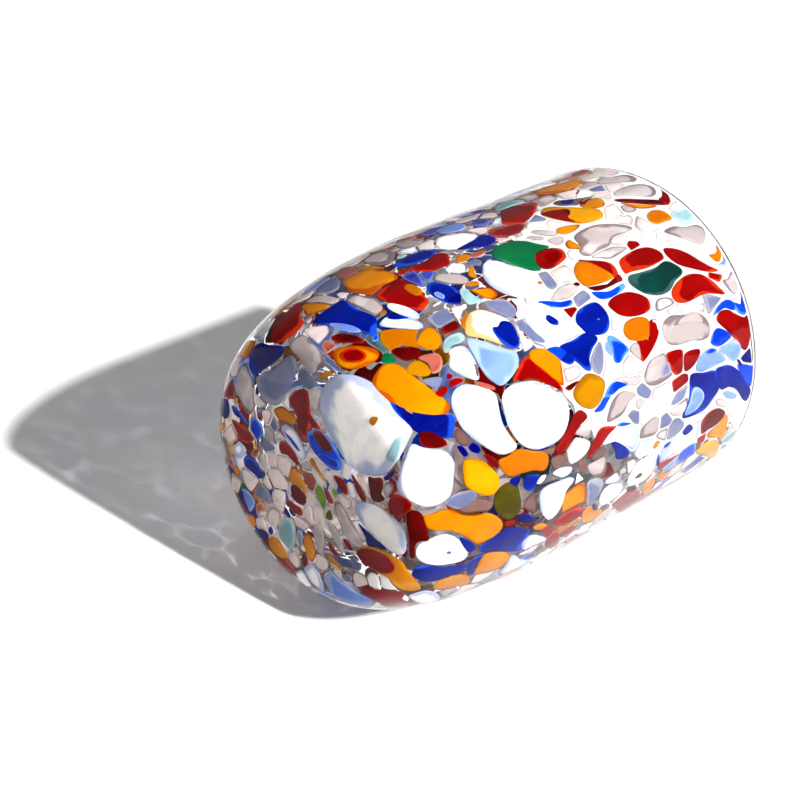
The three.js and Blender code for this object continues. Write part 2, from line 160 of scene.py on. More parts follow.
# Chips of the side that have a shape of their own, by colour. Each is a ring of points, given as
# height above the foot and turn about the axis, in millimetres and degrees, one after the other.
# Turn 0 is the top of the lying tumbler and 90 its front.
SIDE_CHIPS = {
    "cobalt": (
        (5, -6, 7, -7, 10, -5.5, 12.8, -4, 12.3, 0, 12, 5, 12.5, 11.5, 11, 15, 9, 17.5, 8, 14, 6.5, 4),
        (2.6, 39, 5, 46, 8.5, 52.5, 12, 55.5, 12.3, 58, 11, 61, 10, 62.5, 7, 60, 4, 55, 2.3, 45),
        (25.5, 17, 26, 13.5, 27.5, 11.8, 29, 12.3, 30.2, 15, 31, 18, 30.5, 21, 28.8, 24.3, 26.6, 22),
        (27.7, -4, 29.5, -5, 33, -5, 36.5, -4, 38.3, -2, 38, 0.5, 35, 1.5, 31.5, 1, 29, -1),
        (42, 4, 44.5, 3.5, 48, 3, 51, 1.8, 52.7, 3, 52.8, 6, 51, 8, 48, 8, 45, 6.5),
        (51.5, 46, 54, 43.2, 59.5, 43, 61, 47, 60.5, 50.5, 58.5, 53, 56, 53, 53, 51.3, 52, 49),
        (43.5, 51, 48, 50.8, 52.5, 50.5, 55, 53.5, 52, 56, 50, 58.5, 49.5, 61.5, 48, 61, 46.5, 58, 45,
         55),
        (42, 54.2, 44.5, 53.5, 45.8, 56.5, 44, 57.2),
        (51, 85.8, 53, 87, 56, 90, 58.3, 93.3, 58, 95, 56, 94.8, 53.5, 93.3, 52.8, 90),
        (21, 83.3, 23.8, 83.3, 23.4, 85.5, 22.5, 86.3),
        (25, 84.5, 26.5, 84.5, 29, 85.7, 27.8, 89, 26.5, 90, 24.8, 88),
        (15, 106, 17, 104.5, 20, 101.8, 21.8, 101.3, 25, 103.2, 28, 105.5, 28.2, 108, 27, 111, 28, 115,
         24.5, 113.5, 20, 110.7, 16, 109),
        (13.5, 113, 15.5, 110.5, 17, 110.8, 16, 114, 17, 121.5, 15.3, 119.5, 14, 117),
        (2.2, 113.5, 4, 111.8, 9, 113, 12.5, 113, 13.5, 114.5, 13.3, 117.5, 10.5, 118.8, 8, 121, 5, 121,
         2.5, 118),
        (9.5, 99.5, 12, 102, 14, 105.5, 13, 107.5, 11.3, 105),
        (80, 79, 81.5, 78, 85, 79.5, 89, 80.7, 91.5, 84, 91, 88, 89, 90.5, 85.5, 93.2, 81, 93, 77, 91.3,
         79.3, 86),
        (70, 101, 70.9, 104, 72, 107.3, 70.6, 106.3, 69.8, 103),
    ),
    "violet": (
        (25.3, 3.5, 27, 3, 28.8, 3.5, 28.3, 7, 27, 10.5, 25.8, 12, 25.2, 8),
        (29.3, 6, 31.5, 8.7, 29.8, 10.5, 28, 11, 28.2, 8),
        (44.5, -14, 46, -17, 50, -20, 55, -20, 54.5, -15.5, 50, -15, 46.5, -11),
        (54.5, -5, 56, -8, 57.8, -9.8, 59.5, -7.5, 60, -5, 58, -3, 56, -2.8),
        (29.8, 120, 31, 119.3, 34, 120.5, 36, 124.5, 33.5, 123.6, 31, 122.5),
        (77.5, 122.5, 79.5, 119.5, 81.5, 121.5, 80.5, 124, 78.5, 125),
        (73.5, 124.5, 76, 125.5, 78, 130, 75, 129),
    ),
    "navy": (
        (23.7, 98.5, 25, 97.8, 26.8, 98.8, 29.3, 102.4, 27.3, 102.2, 25, 101),
        (10.7, 66, 11.8, 66.5, 12.6, 69.7, 11.5, 69.9),
        (13, 67.5, 14.3, 66.8, 15.4, 69, 15, 70.7, 13.5, 69.5),
        (97.8, 81.2, 98.8, 81.7, 100, 84.3, 99, 84),
    ),
    "azure": (
        (40, 50, 43, 50.6, 44.5, 53.5, 42.3, 54.6, 41, 52.5),
        (57.5, 55, 59, 54.7, 61, 57.5, 62.5, 61, 61, 62, 58.5, 63.5, 57, 62.3, 57.6, 58.5),
        (47, 74, 49, 72.6, 51, 71, 53, 71.6, 51.5, 73.2, 49.5, 74.8),
        (51.2, 70.8, 53.5, 68.5, 55.5, 68.3, 57.5, 69.5, 59, 71, 56, 71, 53.3, 71.8),
        (45.5, 35.3, 48, 36.5, 51, 38.5, 54, 39.3, 53, 40.8, 49.5, 39.8, 46.6, 37.5),
        (53.5, 82, 55, 81.5, 58.5, 83.6, 56, 83.2),
        (60.5, 39.7, 62.5, 41, 66, 41.8, 70.3, 41.3, 70, 43, 66, 43.8, 63, 43.6, 61.2, 42.3),
        (92.5, 63.5, 94.5, 61.5, 98, 60.5, 100.3, 61.7, 101.5, 64.5, 100, 65, 98, 63.2, 95, 62.8),
        (100.6, 62.4, 102.3, 64, 103.8, 63.3, 104.7, 60.5, 104.8, 66, 103.5, 68, 101.7, 67, 100.7, 65),
        (89.2, 71.2, 90.5, 69, 92.5, 67.8, 95, 69.5, 97, 72.5, 95, 73.5, 92, 73.8, 90.2, 72.8),
        (98, 83, 101, 84.3, 103.5, 86, 104.8, 86.8, 104.7, 92, 103.3, 94, 101.5, 91.3, 99.5, 87.5),
        (80.3, 106.9, 84.5, 105.8, 86, 107.5, 86.5, 110, 84, 112, 80.8, 112.9, 79.8, 110),
        (7.7, 19, 8.5, 17.9, 9.5, 18, 8.7, 20),
    ),
    "sky": (
        (22.8, 47, 23, 41, 23.5, 36.7, 24.5, 36, 27, 39, 30, 43.5, 32.5, 46.5, 32, 49.5, 30, 52, 27,
         53.7, 25, 53.8, 23.3, 50.5),
        (47, -9.5, 48, -13, 50, -14.3, 53.5, -13.3, 54.5, -10, 53, -6.5, 50.5, -5.5, 48.5, -7),
        (55.5, 57.5, 57, 55.6, 57.3, 58.5, 56.6, 60.5),
        (82.5, 77, 84.5, 74, 87.5, 72.8, 90, 73.8, 92.3, 76, 93.8, 79.3, 90.5, 79.3, 87, 79.3, 84,
         78.8),
        (91.5, 74.5, 95, 74.2, 98, 74, 100, 77, 98.5, 80.5, 96.5, 81, 94, 77.8),
        (92.5, 90.3, 95, 91, 98.5, 94.5, 97, 95, 94, 93),
        (74.5, 111, 77, 108.9, 79, 109, 79.3, 113, 77, 113),
        (101, 49, 103, 48.6, 104.7, 46.5, 104.6, 48.6, 102.8, 50),
    ),
    "lavender": (
        (36.7, 38.5, 38.5, 38.5, 39.3, 42, 40.8, 47.5, 38.8, 46.5, 37.3, 43.5),
        (33.5, 28, 36, 28.5, 38.5, 30, 39.2, 34, 37.5, 36.5, 35.5, 35, 34, 31.5),
        (10.2, 41, 12, 41.5, 13.8, 43, 13, 45, 11.5, 45.7, 10.8, 44),
        (54.8, 54.8, 55, 57, 53.5, 61.5, 51.5, 64, 50, 62, 50.2, 59, 52, 56.8),
        (20, 23.5, 22, 22.8, 24.8, 23.5, 24.8, 28, 22.5, 28.2, 20.3, 28),
        (72.8, 84.5, 74.5, 82, 77, 81, 79, 80.8, 78.3, 83, 77, 84.8, 74, 85.1),
        (44, 96.7, 46.5, 96.3, 49, 98, 50.3, 101, 49.7, 104, 47.5, 107.3, 45.5, 105.5, 44.7, 101),
        (101, 118, 103, 119, 104.6, 122, 102, 121),
    ),
    "red": (
        (17.3, 3.7, 19.5, 3, 22, 3.2, 24.8, 3.8, 24.5, 8, 25, 12, 24, 16, 23.5, 18.5, 20.3, 19.5, 19.5,
         17, 17.5, 11, 17, 7),
        (28.7, 3.5, 29.3, 1.4, 32, 1.8, 35, 2, 37.8, 1.2, 39, 4, 37.8, 6.5, 36, 8.5, 33, 8.2, 31, 7.3),
        (59.5, 0.5, 62, -3, 64.5, -7, 67, -8.5, 70, -8, 73, -6.5, 74.5, -3.5, 72.5, -1, 69, 2, 65, 4,
         62.5, 4.1, 60.8, 2.5),
        (11, 46.8, 13.5, 46, 13.5, 48, 11.6, 48.6),
        (14.5, 47.3, 15, 45.5, 17, 45.8, 17.8, 47.3, 16, 47.5),
        (14.8, 44, 15.5, 43, 16.2, 44.3, 15.3, 44.9),
        (28.2, 54.2, 30, 52.3, 32, 50.3, 34.3, 49.2, 35.5, 52, 37.5, 56.5, 39.5, 61.5, 39.7, 63.7, 37,
         60.5, 34, 56.7, 31, 55),
        (64, 28, 66, 29.3, 70, 32, 71.5, 34.5, 71, 37.8, 69.5, 38.5, 66, 36, 63.5, 31),
        (62.7, 45.5, 65, 44.1, 69, 44.1, 72, 45.7, 74.6, 49, 74, 52.3, 71, 53, 67, 52, 64.3, 50, 63,
         47.5),
        (66, 59.5, 70, 61, 71.8, 56, 74.3, 56.5, 73.3, 60.5, 70, 64, 66, 66.6, 65.2, 65.5),
        (34, 80, 36.5, 77.5, 39.5, 73.6, 42, 71.3, 43.7, 72, 44.7, 74.5, 42, 76, 38.5, 79.5, 35.5, 82),
        (43.3, 88, 45, 84.5, 47.5, 80.6, 49.5, 80.1, 52.5, 81.5, 53.5, 82.1, 51, 83.2, 48.5, 85.2, 46,
         86.6),
        (35.5, 107, 38, 105.5, 42, 105, 44.5, 106.5, 45.2, 109, 44.5, 111, 41, 111.2, 37.5, 109.7),
        (40.5, 114.5, 43, 114.3, 45.5, 116, 45, 118.5, 43, 119, 41, 117.5),
        (20.3, 98.2, 22.5, 98.5, 23.3, 100, 22.3, 100.3, 20.8, 100.3),
        (73, 36.5, 74, 34, 77, 33, 81, 32.7, 84.5, 33.7, 86.7, 36.5, 86.6, 39.3, 84, 39.9, 80, 40, 75,
         39, 73, 38.8),
        (87.8, 38.5, 88.5, 36.3, 91.5, 38, 94, 41, 96.5, 45.5, 98.5, 48.5, 100.3, 50.8, 97.5, 50, 94,
         47.5, 90, 44, 88.5, 41.5),
        (82, 52.5, 83, 50, 86, 48.3, 90, 47.6, 94, 49.2, 96.5, 52.5, 98, 56, 99, 58.8, 95.5, 57, 92,
         55.7, 86.5, 55.8, 83.2, 54.7),
        (93.2, 65, 95, 63.2, 98, 63.8, 100, 66, 103, 68.7, 104.7, 68.5, 104.5, 73, 103.5, 77, 102, 79.5,
         100.5, 78.8, 98.5, 75, 96, 70.5, 94.2, 67.5),
        (73.5, 68, 76, 67.8, 79, 69, 78.6, 72, 77.6, 75.5, 75.5, 75.8, 74.5, 74.5, 73.7, 72),
        (79, 71.5, 80.5, 70.3, 83.5, 70.8, 85, 71.8, 84, 74, 81, 76, 78.5, 75.8),
        (100.4, 18.5, 102, 18, 104, 15.7, 104.7, 14.7, 104.4, 17.5, 102.8, 21, 101, 22.3, 100.2, 21),
        (71.5, 106.7, 74, 106.4, 77, 107, 79.6, 107.2, 77.5, 108.4, 74.5, 110, 72.3, 109.5),
    ),
    "crimson": (
        (52.5, 4.5, 53.7, 2, 56, 1, 59, 2, 61.5, 3.5, 63, 5.3, 61, 7.5, 58, 8.3, 55, 7.5),
        (32, 107.7, 34.5, 107.5, 36.5, 110.7, 35.6, 113.6, 33.5, 111),
        (36.6, 111.5, 38.5, 112.5, 40, 116, 41.5, 121, 41, 124, 38, 121, 36, 117.5, 35.7, 114),
        (57.5, 115, 60, 113.5, 63, 113, 67, 115.5, 70, 119.5, 73, 124, 72, 128, 67, 127, 63, 122.5, 60,
         118.5),
        (42, -13, 43.5, -15, 44.3, -15.5, 44.5, -12.5, 44, -10.3, 43, -11.5),
        (25.5, 1.5, 26.5, 0, 28.4, 0.5, 28.6, 2.5, 27, 3, 25.7, 2.6),
    ),
    "salmon": (
        (12.2, 33.8, 13.5, 33.5, 16.3, 35.5, 16.2, 38.5, 14.5, 41, 12.7, 40.3, 13.2, 37),
        (19.8, -15, 20.8, -20, 23, -24, 25.3, -22, 24.5, -16, 23.2, -13.6, 21.3, -13.4),
        (40, -19, 43, -21, 45, -20, 44, -16.5, 42, -14.5, 40.5, -16),
        (42.5, 8.8, 46, 9, 47, 10, 44.5, 11.2, 42.3, 11),
        (92, -17, 95, -20, 103, -20, 103.5, -16, 101.5, -12.5, 98, -11, 94.5, -12.5),
        (34, -15.5, 35.5, -18.5, 36.3, -16, 35.5, -13.5),
        (45.5, 123.5, 47.5, 123, 50, 125.5, 48, 126.8),
        (19.8, 49.5, 21, 50, 23.4, 53, 23.2, 54.3, 21.5, 52.7, 20.3, 51),
    ),
    "maroon": (
        (8.8, 26.4, 11, 27, 13.8, 31, 13, 33.3, 11.3, 33.2, 9.5, 31.5),
        (20.3, 29.2, 22, 28.6, 24.6, 28.9, 24.5, 31.3, 22, 31.6, 20.5, 31),
        (60.3, 37.8, 62, 39, 66, 39.6, 69, 39, 71, 37.9, 71, 40.3, 69, 40.4, 65, 40.5, 62, 39.9),
        (90, 11, 92, 12, 96, 15.5, 100, 18.8, 101.1, 20.5, 100.6, 22, 98, 20.3, 94, 16.8, 90.5, 13),
        (50.2, 92.7, 51.3, 93.5, 52.5, 96, 53.3, 98.4, 50.5, 98.4, 49.6, 97.8, 50.3, 95),
        (24, 100.8, 25.5, 101.5, 28, 102.8, 29.5, 103, 28.5, 104.3, 26.5, 103.7, 24.8, 102.4),
        (16, 71.7, 17.5, 73, 18.6, 75.5, 18.5, 78, 17, 76, 16.2, 73.7),
        (85.5, 98, 87, 95.8, 89.5, 95.2, 92, 96, 94.8, 99, 94.5, 101, 92, 102.8, 89.5, 103, 87, 103.6,
         86, 101.5),
        (40.5, 63, 43, 62.6, 44.8, 62.9, 43.5, 63.7, 41.5, 64.4),
        (57.3, 35, 58.5, 34.7, 59, 35.8, 58.2, 36.1),
    ),
    "amber": (
        (34.6, 50, 36, 48.2, 38.5, 48.7, 41, 51, 42.1, 54.5, 41.3, 58.5, 40.3, 62.1, 38.5, 59.5, 36.2,
         54.5),
        (5.5, 28.5, 8, 31, 9.2, 38, 10.3, 43, 12.5, 51, 12, 54, 9, 54.3, 4.8, 50.5, 2.3, 41, 2, 32),
        (6.5, -12, 7.5, -15, 9, -19, 10, -17, 10.3, -10, 10.2, -6.1, 8.5, -7.3),
        (15.5, -6, 17, -10, 19.3, -14.5, 21, -13, 23, -12.5, 24.5, -10, 25.5, -5, 25.5, 0, 24.5, 2.9,
         22, 2.4, 19.5, 2.2, 17, 2.8, 16, -1),
        (33.3, 21.5, 35, 22.6, 37.5, 24, 38, 27, 36.5, 28.1, 34.5, 26.5),
        (33.3, 19.5, 35, 19, 36.7, 20, 36, 21.6),
        (36.5, 16.5, 38.5, 14, 39.6, 14.3, 38.3, 16.8, 37.3, 19),
        (38, 9.5, 39.5, 7.2, 41.9, 7.7, 42, 9.7, 40, 10.7),
        (66.7, 14.8, 68, 13.2, 71, 13.8, 74, 15.5, 71.5, 16.8, 68, 16.8),
        (80.8, 8, 82, 6, 84.5, 5.8, 87, 6.5, 87.8, 8.5, 86.5, 11.3, 84.5, 11.8, 82.3, 10.5),
        (90.3, 13.6, 93, 16.6, 97.7, 20.6, 96, 20.7, 93.3, 19.3, 91.6, 17.3),
        (80, -11, 81.5, -14, 85, -14.5, 89, -13.3, 93, -11, 94.8, -8.5, 93, -6, 90, -4.3, 86.5, -4.3,
         83, -6, 80.5, -8.5),
        (1.8, 89, 3.5, 87.5, 7, 87, 10.5, 91, 14, 92, 16.5, 93, 19.3, 97, 20, 100, 19, 102.3, 16, 104.3,
         14.3, 104.8, 12.5, 102.3, 9, 97.3, 6, 95, 3, 94),
        (36.7, 100, 37, 97, 39, 95.8, 42, 95.3, 43.5, 97.5, 44.5, 101, 45, 104.7, 43, 104.3, 40, 104.3,
         37.5, 103.8),
        (45.5, 109, 47.5, 108, 49.5, 109.5, 52, 112.5, 54.2, 115, 54, 117.5, 51.5, 118.5, 48.5, 116.5,
         46.3, 113.5),
        (16.7, 110.8, 19, 110.5, 22, 111.6, 24.7, 114.5, 25.5, 118, 25, 122, 22, 122, 18.5, 121.7, 17,
         121, 16.4, 116.5),
        (8, 121.8, 10, 119.9, 13, 119, 15, 120, 16.5, 123, 17.5, 127, 13, 128, 9, 127),
        (29, 105.2, 31, 104.6, 32.7, 106, 33.5, 107.3, 32, 108, 30.3, 107),
        (69, 115.5, 71, 113, 73, 114, 74.5, 118, 75, 123, 73.5, 123.5, 71.5, 121, 70, 118.5),
        (89.5, 105, 92, 103.4, 94.8, 101, 95.6, 100.2, 97, 103, 98, 107.5, 98.7, 113.5, 96, 111, 93,
         109, 90.5, 107),
        (67, 96.5, 68, 95.2, 69.3, 96, 68.8, 97.3, 67.7, 97.8),
    ),
    "orange": (
        (9, 20.5, 10.5, 17.8, 13, 20, 15, 23, 16.5, 25.3, 14.8, 27, 13.8, 30.3, 11.3, 26.5, 8.9, 25.8),
        (91.5, 25, 92.5, 22.7, 95, 21.7, 97.3, 23, 98.2, 25.5, 97.8, 27.8, 95, 27.7, 92.5, 27.3),
        (13.4, 11.4, 15, 11.5, 14.9, 12.7, 14.2, 13.1),
        (63, 55.5, 64.5, 53.2, 67, 52.7, 70, 53.5, 71.7, 55.2, 71.1, 58, 69.7, 60.5, 67.5, 60.7, 65,
         59.3, 63.5, 58),
        (19.5, 79, 19, 75.6, 21.5, 75.3, 24.5, 74.6, 28, 77, 31, 78.8, 32, 81, 31.5, 84, 30, 84.8, 27.5,
         83.4, 24, 82.7, 21.3, 82.3),
        (37.8, 111, 41, 111.9, 44.8, 111.8, 46, 114, 43, 113.7, 39.5, 113.6),
        (49, 29.8, 49.6, 29.2, 50.2, 30, 49.6, 30.6),
        (100, 44.7, 101.5, 45.4, 103, 44.6, 104.5, 42.6, 104.6, 44.3, 103.7, 46.7, 102, 48.2, 100.7,
         47.3),
        (25.2, 30.5, 27.5, 28.2, 28.5, 27.6, 26.8, 30, 25, 33),
    ),
    "yellow": (
        (71, 2.5, 73, 1, 75.5, 2, 77, 4.5, 80, 8, 83, 11.5, 83, 14.5, 81, 16.5, 78, 16.3, 74.5, 15, 72,
         11, 70.3, 7, 70, 4),
        (11, 72.3, 12.3, 71.2, 15.2, 73.4, 17.2, 77, 18.6, 81, 18.5, 84, 17, 86.3, 14.5, 85.3, 12, 82.3,
         10.6, 79),
        (87.5, 111.5, 89.5, 109.7, 93, 110, 96, 112, 98.5, 115.5, 101, 121, 103, 126, 100, 125, 96,
         120.5, 92, 116.5, 89, 113.8),
        (104, 76.5, 104.6, 75.5, 104.7, 84, 104.1, 83.5),
    ),
    "ochre": (
        (42.2, 66, 43.5, 64, 47.5, 62, 50.5, 63.7, 52.2, 66.5, 51.3, 69.5, 49, 72.3, 46.5, 72.8, 44, 71,
         42.5, 68.5),
        (8.5, 35.5, 10, 33.7, 11.7, 34, 12.8, 37, 12.5, 40.2, 11, 40.3, 9.6, 38.5),
        (24, -12, 25.2, -18, 26, -14, 26.7, -9, 26.1, -5.5),
    ),
    "white": (
        (18, 39, 19, 36.5, 22, 37, 22.7, 40, 22.4, 45, 21, 49.2, 19, 47.3, 17.3, 44, 16.8, 41),
        (40, -1.5, 42, -5, 44.5, -7, 47, -5.5, 50, -3, 51, 0.8, 49, 2.6, 45.5, 3, 42.5, 3.3, 40.5, 1.5),
        (38.5, 21, 40, 17.5, 43, 14.5, 45.5, 15.5, 47, 18.5, 49, 23, 50, 26, 47.5, 28.5, 45.5, 31.5,
         42.5, 31.8, 40, 29, 38.5, 25),
        (41, 36, 45, 35.5, 47.5, 38.5, 50, 43, 51.6, 48, 51.3, 50, 45, 50.1, 42, 47.8, 39.7, 44, 39.2,
         39),
        (12.7, 57, 13, 52, 15, 48.7, 17.5, 48.2, 20, 50.5, 22, 53, 23.1, 55.8, 22.6, 60, 22.3, 65, 23.3,
         70, 24.3, 73.8, 22, 74.7, 19.5, 73.8, 17, 70.3, 14.5, 65.5, 13, 61),
        (23.9, 58.5, 25.2, 56, 28, 55, 31, 55.7, 34, 57.3, 37, 61.3, 39.5, 65.5, 40, 69, 39, 73, 36.5,
         76.8, 33, 77.8, 29, 77.2, 26, 74.6, 24, 70, 23.2, 65),
        (29.3, 92.5, 31, 90.8, 34, 90.8, 38, 91.3, 39.5, 93, 37.5, 95.5, 36.8, 100, 35.5, 103.8, 33.5,
         104.8, 31.5, 102, 30, 98.5),
        (33, 87, 35.5, 86.5, 38.5, 88, 38, 89.8, 35.8, 90, 34, 88.6),
        (27.3, 111, 29, 108.7, 32, 110.7, 35, 113.7, 35.3, 115.3, 32, 115.3, 29.5, 115.8, 28.2, 114.3),
        (25.6, 117, 27, 116.8, 29.5, 120.5, 33, 124, 36, 128, 30, 130, 26.5, 127, 25.8, 122),
        (50.5, 104, 52.5, 102.7, 56, 104.2, 58.5, 106.7, 58.8, 110, 56.5, 112, 53, 111.7, 51, 109.5,
         50.3, 107),
        (60.3, 103, 62.5, 99.7, 66, 99.6, 69, 100.7, 69.8, 104, 69.5, 109, 68, 111.3, 64.5, 110.8, 61.5,
         109.3, 60, 106.5),
        (71, 101, 73, 98.5, 78, 97.3, 82, 96.5, 84.5, 98.3, 85, 102, 84.6, 105.2, 80, 106, 75, 105.7,
         72, 106, 71.3, 103.5),
        (16, 11.8, 17.2, 10.3, 18.8, 15, 19.5, 19.5, 18.8, 21.7, 17.5, 20.8, 16.5, 17.5),
        (48.5, 85.8, 51.5, 84, 55, 83.8, 59, 84.7, 61, 87, 60.9, 91, 60, 93.3, 58.7, 92.8, 56.3, 89.6,
         53, 86.5, 50.5, 85.9),
        (11.5, 15.3, 13.5, 14.2, 15, 15.2, 16.5, 18.5, 18, 22, 18.2, 24.7, 16.7, 25, 14.5, 22, 12.5,
         18.5),
        (1.4, 104, 2, 100.3, 4.5, 97.5, 6.5, 97, 9, 99.7, 11.2, 104.5, 12.6, 108, 12, 111, 8, 111.8, 4,
         110.8, 2, 108),
        (28.2, 88.2, 29.5, 86.2, 31, 86.7, 29.7, 88.7),
    ),
    "cream": (
        (24.6, 34, 25.5, 31.7, 26.8, 30.2, 28.5, 28.7, 31, 29, 33, 31.5, 35.3, 36, 35.2, 41, 33, 46.3,
         30.5, 43, 27.2, 38.2, 24.8, 35.5),
        (55.3, 55, 57, 54, 58, 54.3, 57, 55.3, 55.9, 55.8),
    ),
    "green": (
        (46.2, 13.5, 48, 11, 51, 10, 55, 10.7, 57.5, 13, 59.5, 16.5, 61, 19, 57, 19.3, 54.3, 21.5, 53.2,
         25.7, 51, 25, 49, 22, 47, 17.5),
        (6, 28, 7.3, 25.5, 8.4, 27, 8.4, 30, 7.5, 30.3),
    ),
    "bottle_green": (
        (72.2, 42, 73.5, 39.9, 77, 40.4, 82, 41, 86, 40.4, 88, 42, 89.5, 45.5, 88, 47, 85.5, 47.8, 82.5,
         49.8, 79, 49.9, 75.5, 48, 73.5, 45.5),
    ),
    "olive": (
        (17.2, 87, 19, 84.5, 21, 84, 23, 86, 23.8, 90, 24.3, 94.5, 23.3, 97.3, 21, 97.8, 18.8, 95, 17.3,
         91.5),
    ),
    "aqua": (
        (17.7, 36, 19, 33.2, 21, 32.2, 23.5, 33, 23.8, 35.2, 22.5, 36.1, 20, 35.7, 18.5, 36.9),
        (30, 25, 31, 20.5, 32.7, 20, 33, 24, 33.8, 27.5, 32.5, 27, 30.7, 26.5),
        (31, -6.5, 32.3, -8, 33.5, -5.8, 32, -5.4),
        (66, -9.5, 67.5, -13, 70, -15, 73.5, -16, 75, -12, 74, -8, 70, -8.8),
        (98.5, 27.5, 99.5, 25.5, 102, 26, 104.5, 27, 104.5, 30, 102.5, 32.2, 100.3, 31.8, 98.7, 29.5),
    ),
    "smoke": (
        (11, 61.5, 12.5, 60.7, 13.7, 64, 14.1, 66.3, 12.5, 67, 11.2, 65),
        (20.3, 46, 20.8, 43, 22, 42.3, 22.2, 45.5, 21.3, 48.3, 20.4, 48),
        (25, 95, 25.5, 92.3, 27.5, 91.2, 28.5, 94, 28.7, 98.7, 27, 97.8),
        (7.3, 85.3, 9, 83.3, 11.5, 84.7, 15, 87, 16.8, 89.2, 16, 91.5, 13, 90.8, 9.5, 89.3),
        (40.5, 88, 42.5, 87.5, 43.4, 90, 43, 93, 41.5, 91.5),
        (45, 87.7, 48.5, 86.2, 49.8, 88, 48.7, 89.5, 46, 89.7),
        (32.5, 82.5, 34.5, 81.8, 36.7, 83, 36, 85.5, 33.5, 85.7),
        (77, 0.5, 79, -0.3, 81.5, 1.8, 85, 4, 87.3, 5.4, 84, 5.2, 81, 6.3, 79, 4.8, 77.2, 3),
        (30.5, 78.3, 33, 78.5, 34, 79.3, 32.7, 80.6),
    ),
    "blush": (
        (10.3, -19, 12.5, -18, 13, -12, 12.4, -5.3, 10.8, -6.4, 10.5, -12),
        (12.6, -2, 13.5, -3.5, 15, -3, 16, 2, 16.6, 6, 15.8, 9.5, 14.5, 11.2, 13, 10.5, 12.4, 5),
        (29.3, 11.7, 31, 9.9, 33, 11.7, 35.3, 15, 35.5, 18, 34, 18.8, 31.5, 16.5, 30.3, 14),
        (26.7, -14, 29, -19, 34, -19.5, 34, -13, 32, -9, 29, -6.5, 27.2, -8.5),
        (58.5, 11.8, 60.5, 12, 62.3, 14.5, 60.8, 15),
        (61.3, 10.5, 63, 10, 65.5, 12.5, 66.7, 15, 65, 15.7, 62.7, 13.3),
        (62.3, 16.3, 65, 16.4, 66.5, 17.5, 65, 19.5, 62.7, 19.3),
        (66, 26, 68, 23, 68.8, 19.5, 72, 18, 77, 18, 81, 20, 84, 22.5, 85.5, 25, 83, 25.5, 79, 25.3,
         76.5, 26.3, 75, 27.7, 71, 27.7, 67.5, 28.2),
        (68, 28.8, 72, 28.3, 76, 28.7, 79, 30.8, 76, 31.7, 72.5, 32, 70.5, 30.8),
        (88.3, 17, 89.3, 15, 90.8, 16, 91.8, 18.5, 90.5, 19.3, 88.8, 18.7),
        (92, 8.5, 95, 7, 99.5, 7.3, 102.5, 9.5, 103.5, 12.5, 102, 15.5, 99.5, 16, 96, 12.5, 93, 10.5),
        (94.5, 0, 96, -3, 98.5, -3.5, 100.5, -1, 103.5, 0.5, 104, 4.5, 102, 6.3, 100, 4.5, 97, 2.5),
        (92.5, 31, 96, 30.5, 99, 32.5, 103, 33.5, 104, 36, 102.5, 39, 100, 40.5, 98, 38.5, 95, 34.5),
        (100, 54.5, 102, 54.5, 104.3, 53, 104.2, 57, 102.5, 60.2, 101, 58.5),
        (75.5, 54, 76.5, 51.3, 78.5, 50.8, 81.2, 52, 81.8, 54, 79, 54.5),
        (74.5, 61, 76, 58.2, 79, 57.3, 83, 58.8, 87, 59.5, 89.5, 62.5, 90.3, 66, 89, 69, 86, 69, 83,
         67.7, 78, 66.8, 75, 64.8),
        (55, 68, 57, 67.7, 60, 69.2, 63.5, 70.2, 63, 72.2, 61, 72.3, 59.3, 71.2, 57.5, 69),
        (50.5, 79, 52, 75.2, 54, 73, 57, 72.3, 60, 74, 61, 75.5, 58.5, 76.3, 56, 79, 53, 79.5),
        (62.6, 61.2, 64.3, 60, 65.8, 60.7, 65.5, 64, 64.9, 65.7, 63.5, 63.5),
        (64.7, 71.5, 66, 69, 68, 67.3, 71, 67, 73.2, 67.7, 73.5, 73, 74, 75, 69.3, 75.8, 66.5, 75, 65,
         73.5),
        (60.5, 78, 62, 77, 63.5, 79, 62.5, 80.5, 60.8, 79.8),
        (43.7, 90.5, 45, 90, 48.7, 90, 49.8, 92, 49.3, 96.3, 47.5, 96.2, 45, 94),
        (72.2, 86.5, 74, 86, 77, 85.5, 78.8, 85.3, 78.5, 88, 77, 90, 74.5, 89.5, 73, 88.3),
        (90, 92, 92, 92.5, 95, 95.5, 94, 96.5, 91, 94.5), (88, 58.8, 90.7, 58.3, 89.8, 60.8),
        (49, 36.5, 53, 34, 57, 34.2, 58, 37, 54, 38.3, 51.5, 37.8),
        (55.5, 98.8, 57.5, 99, 58, 101, 56, 100.5), (32, 57, 34, 58, 36.5, 60.5, 35, 60, 33, 58.5),
    ),
}

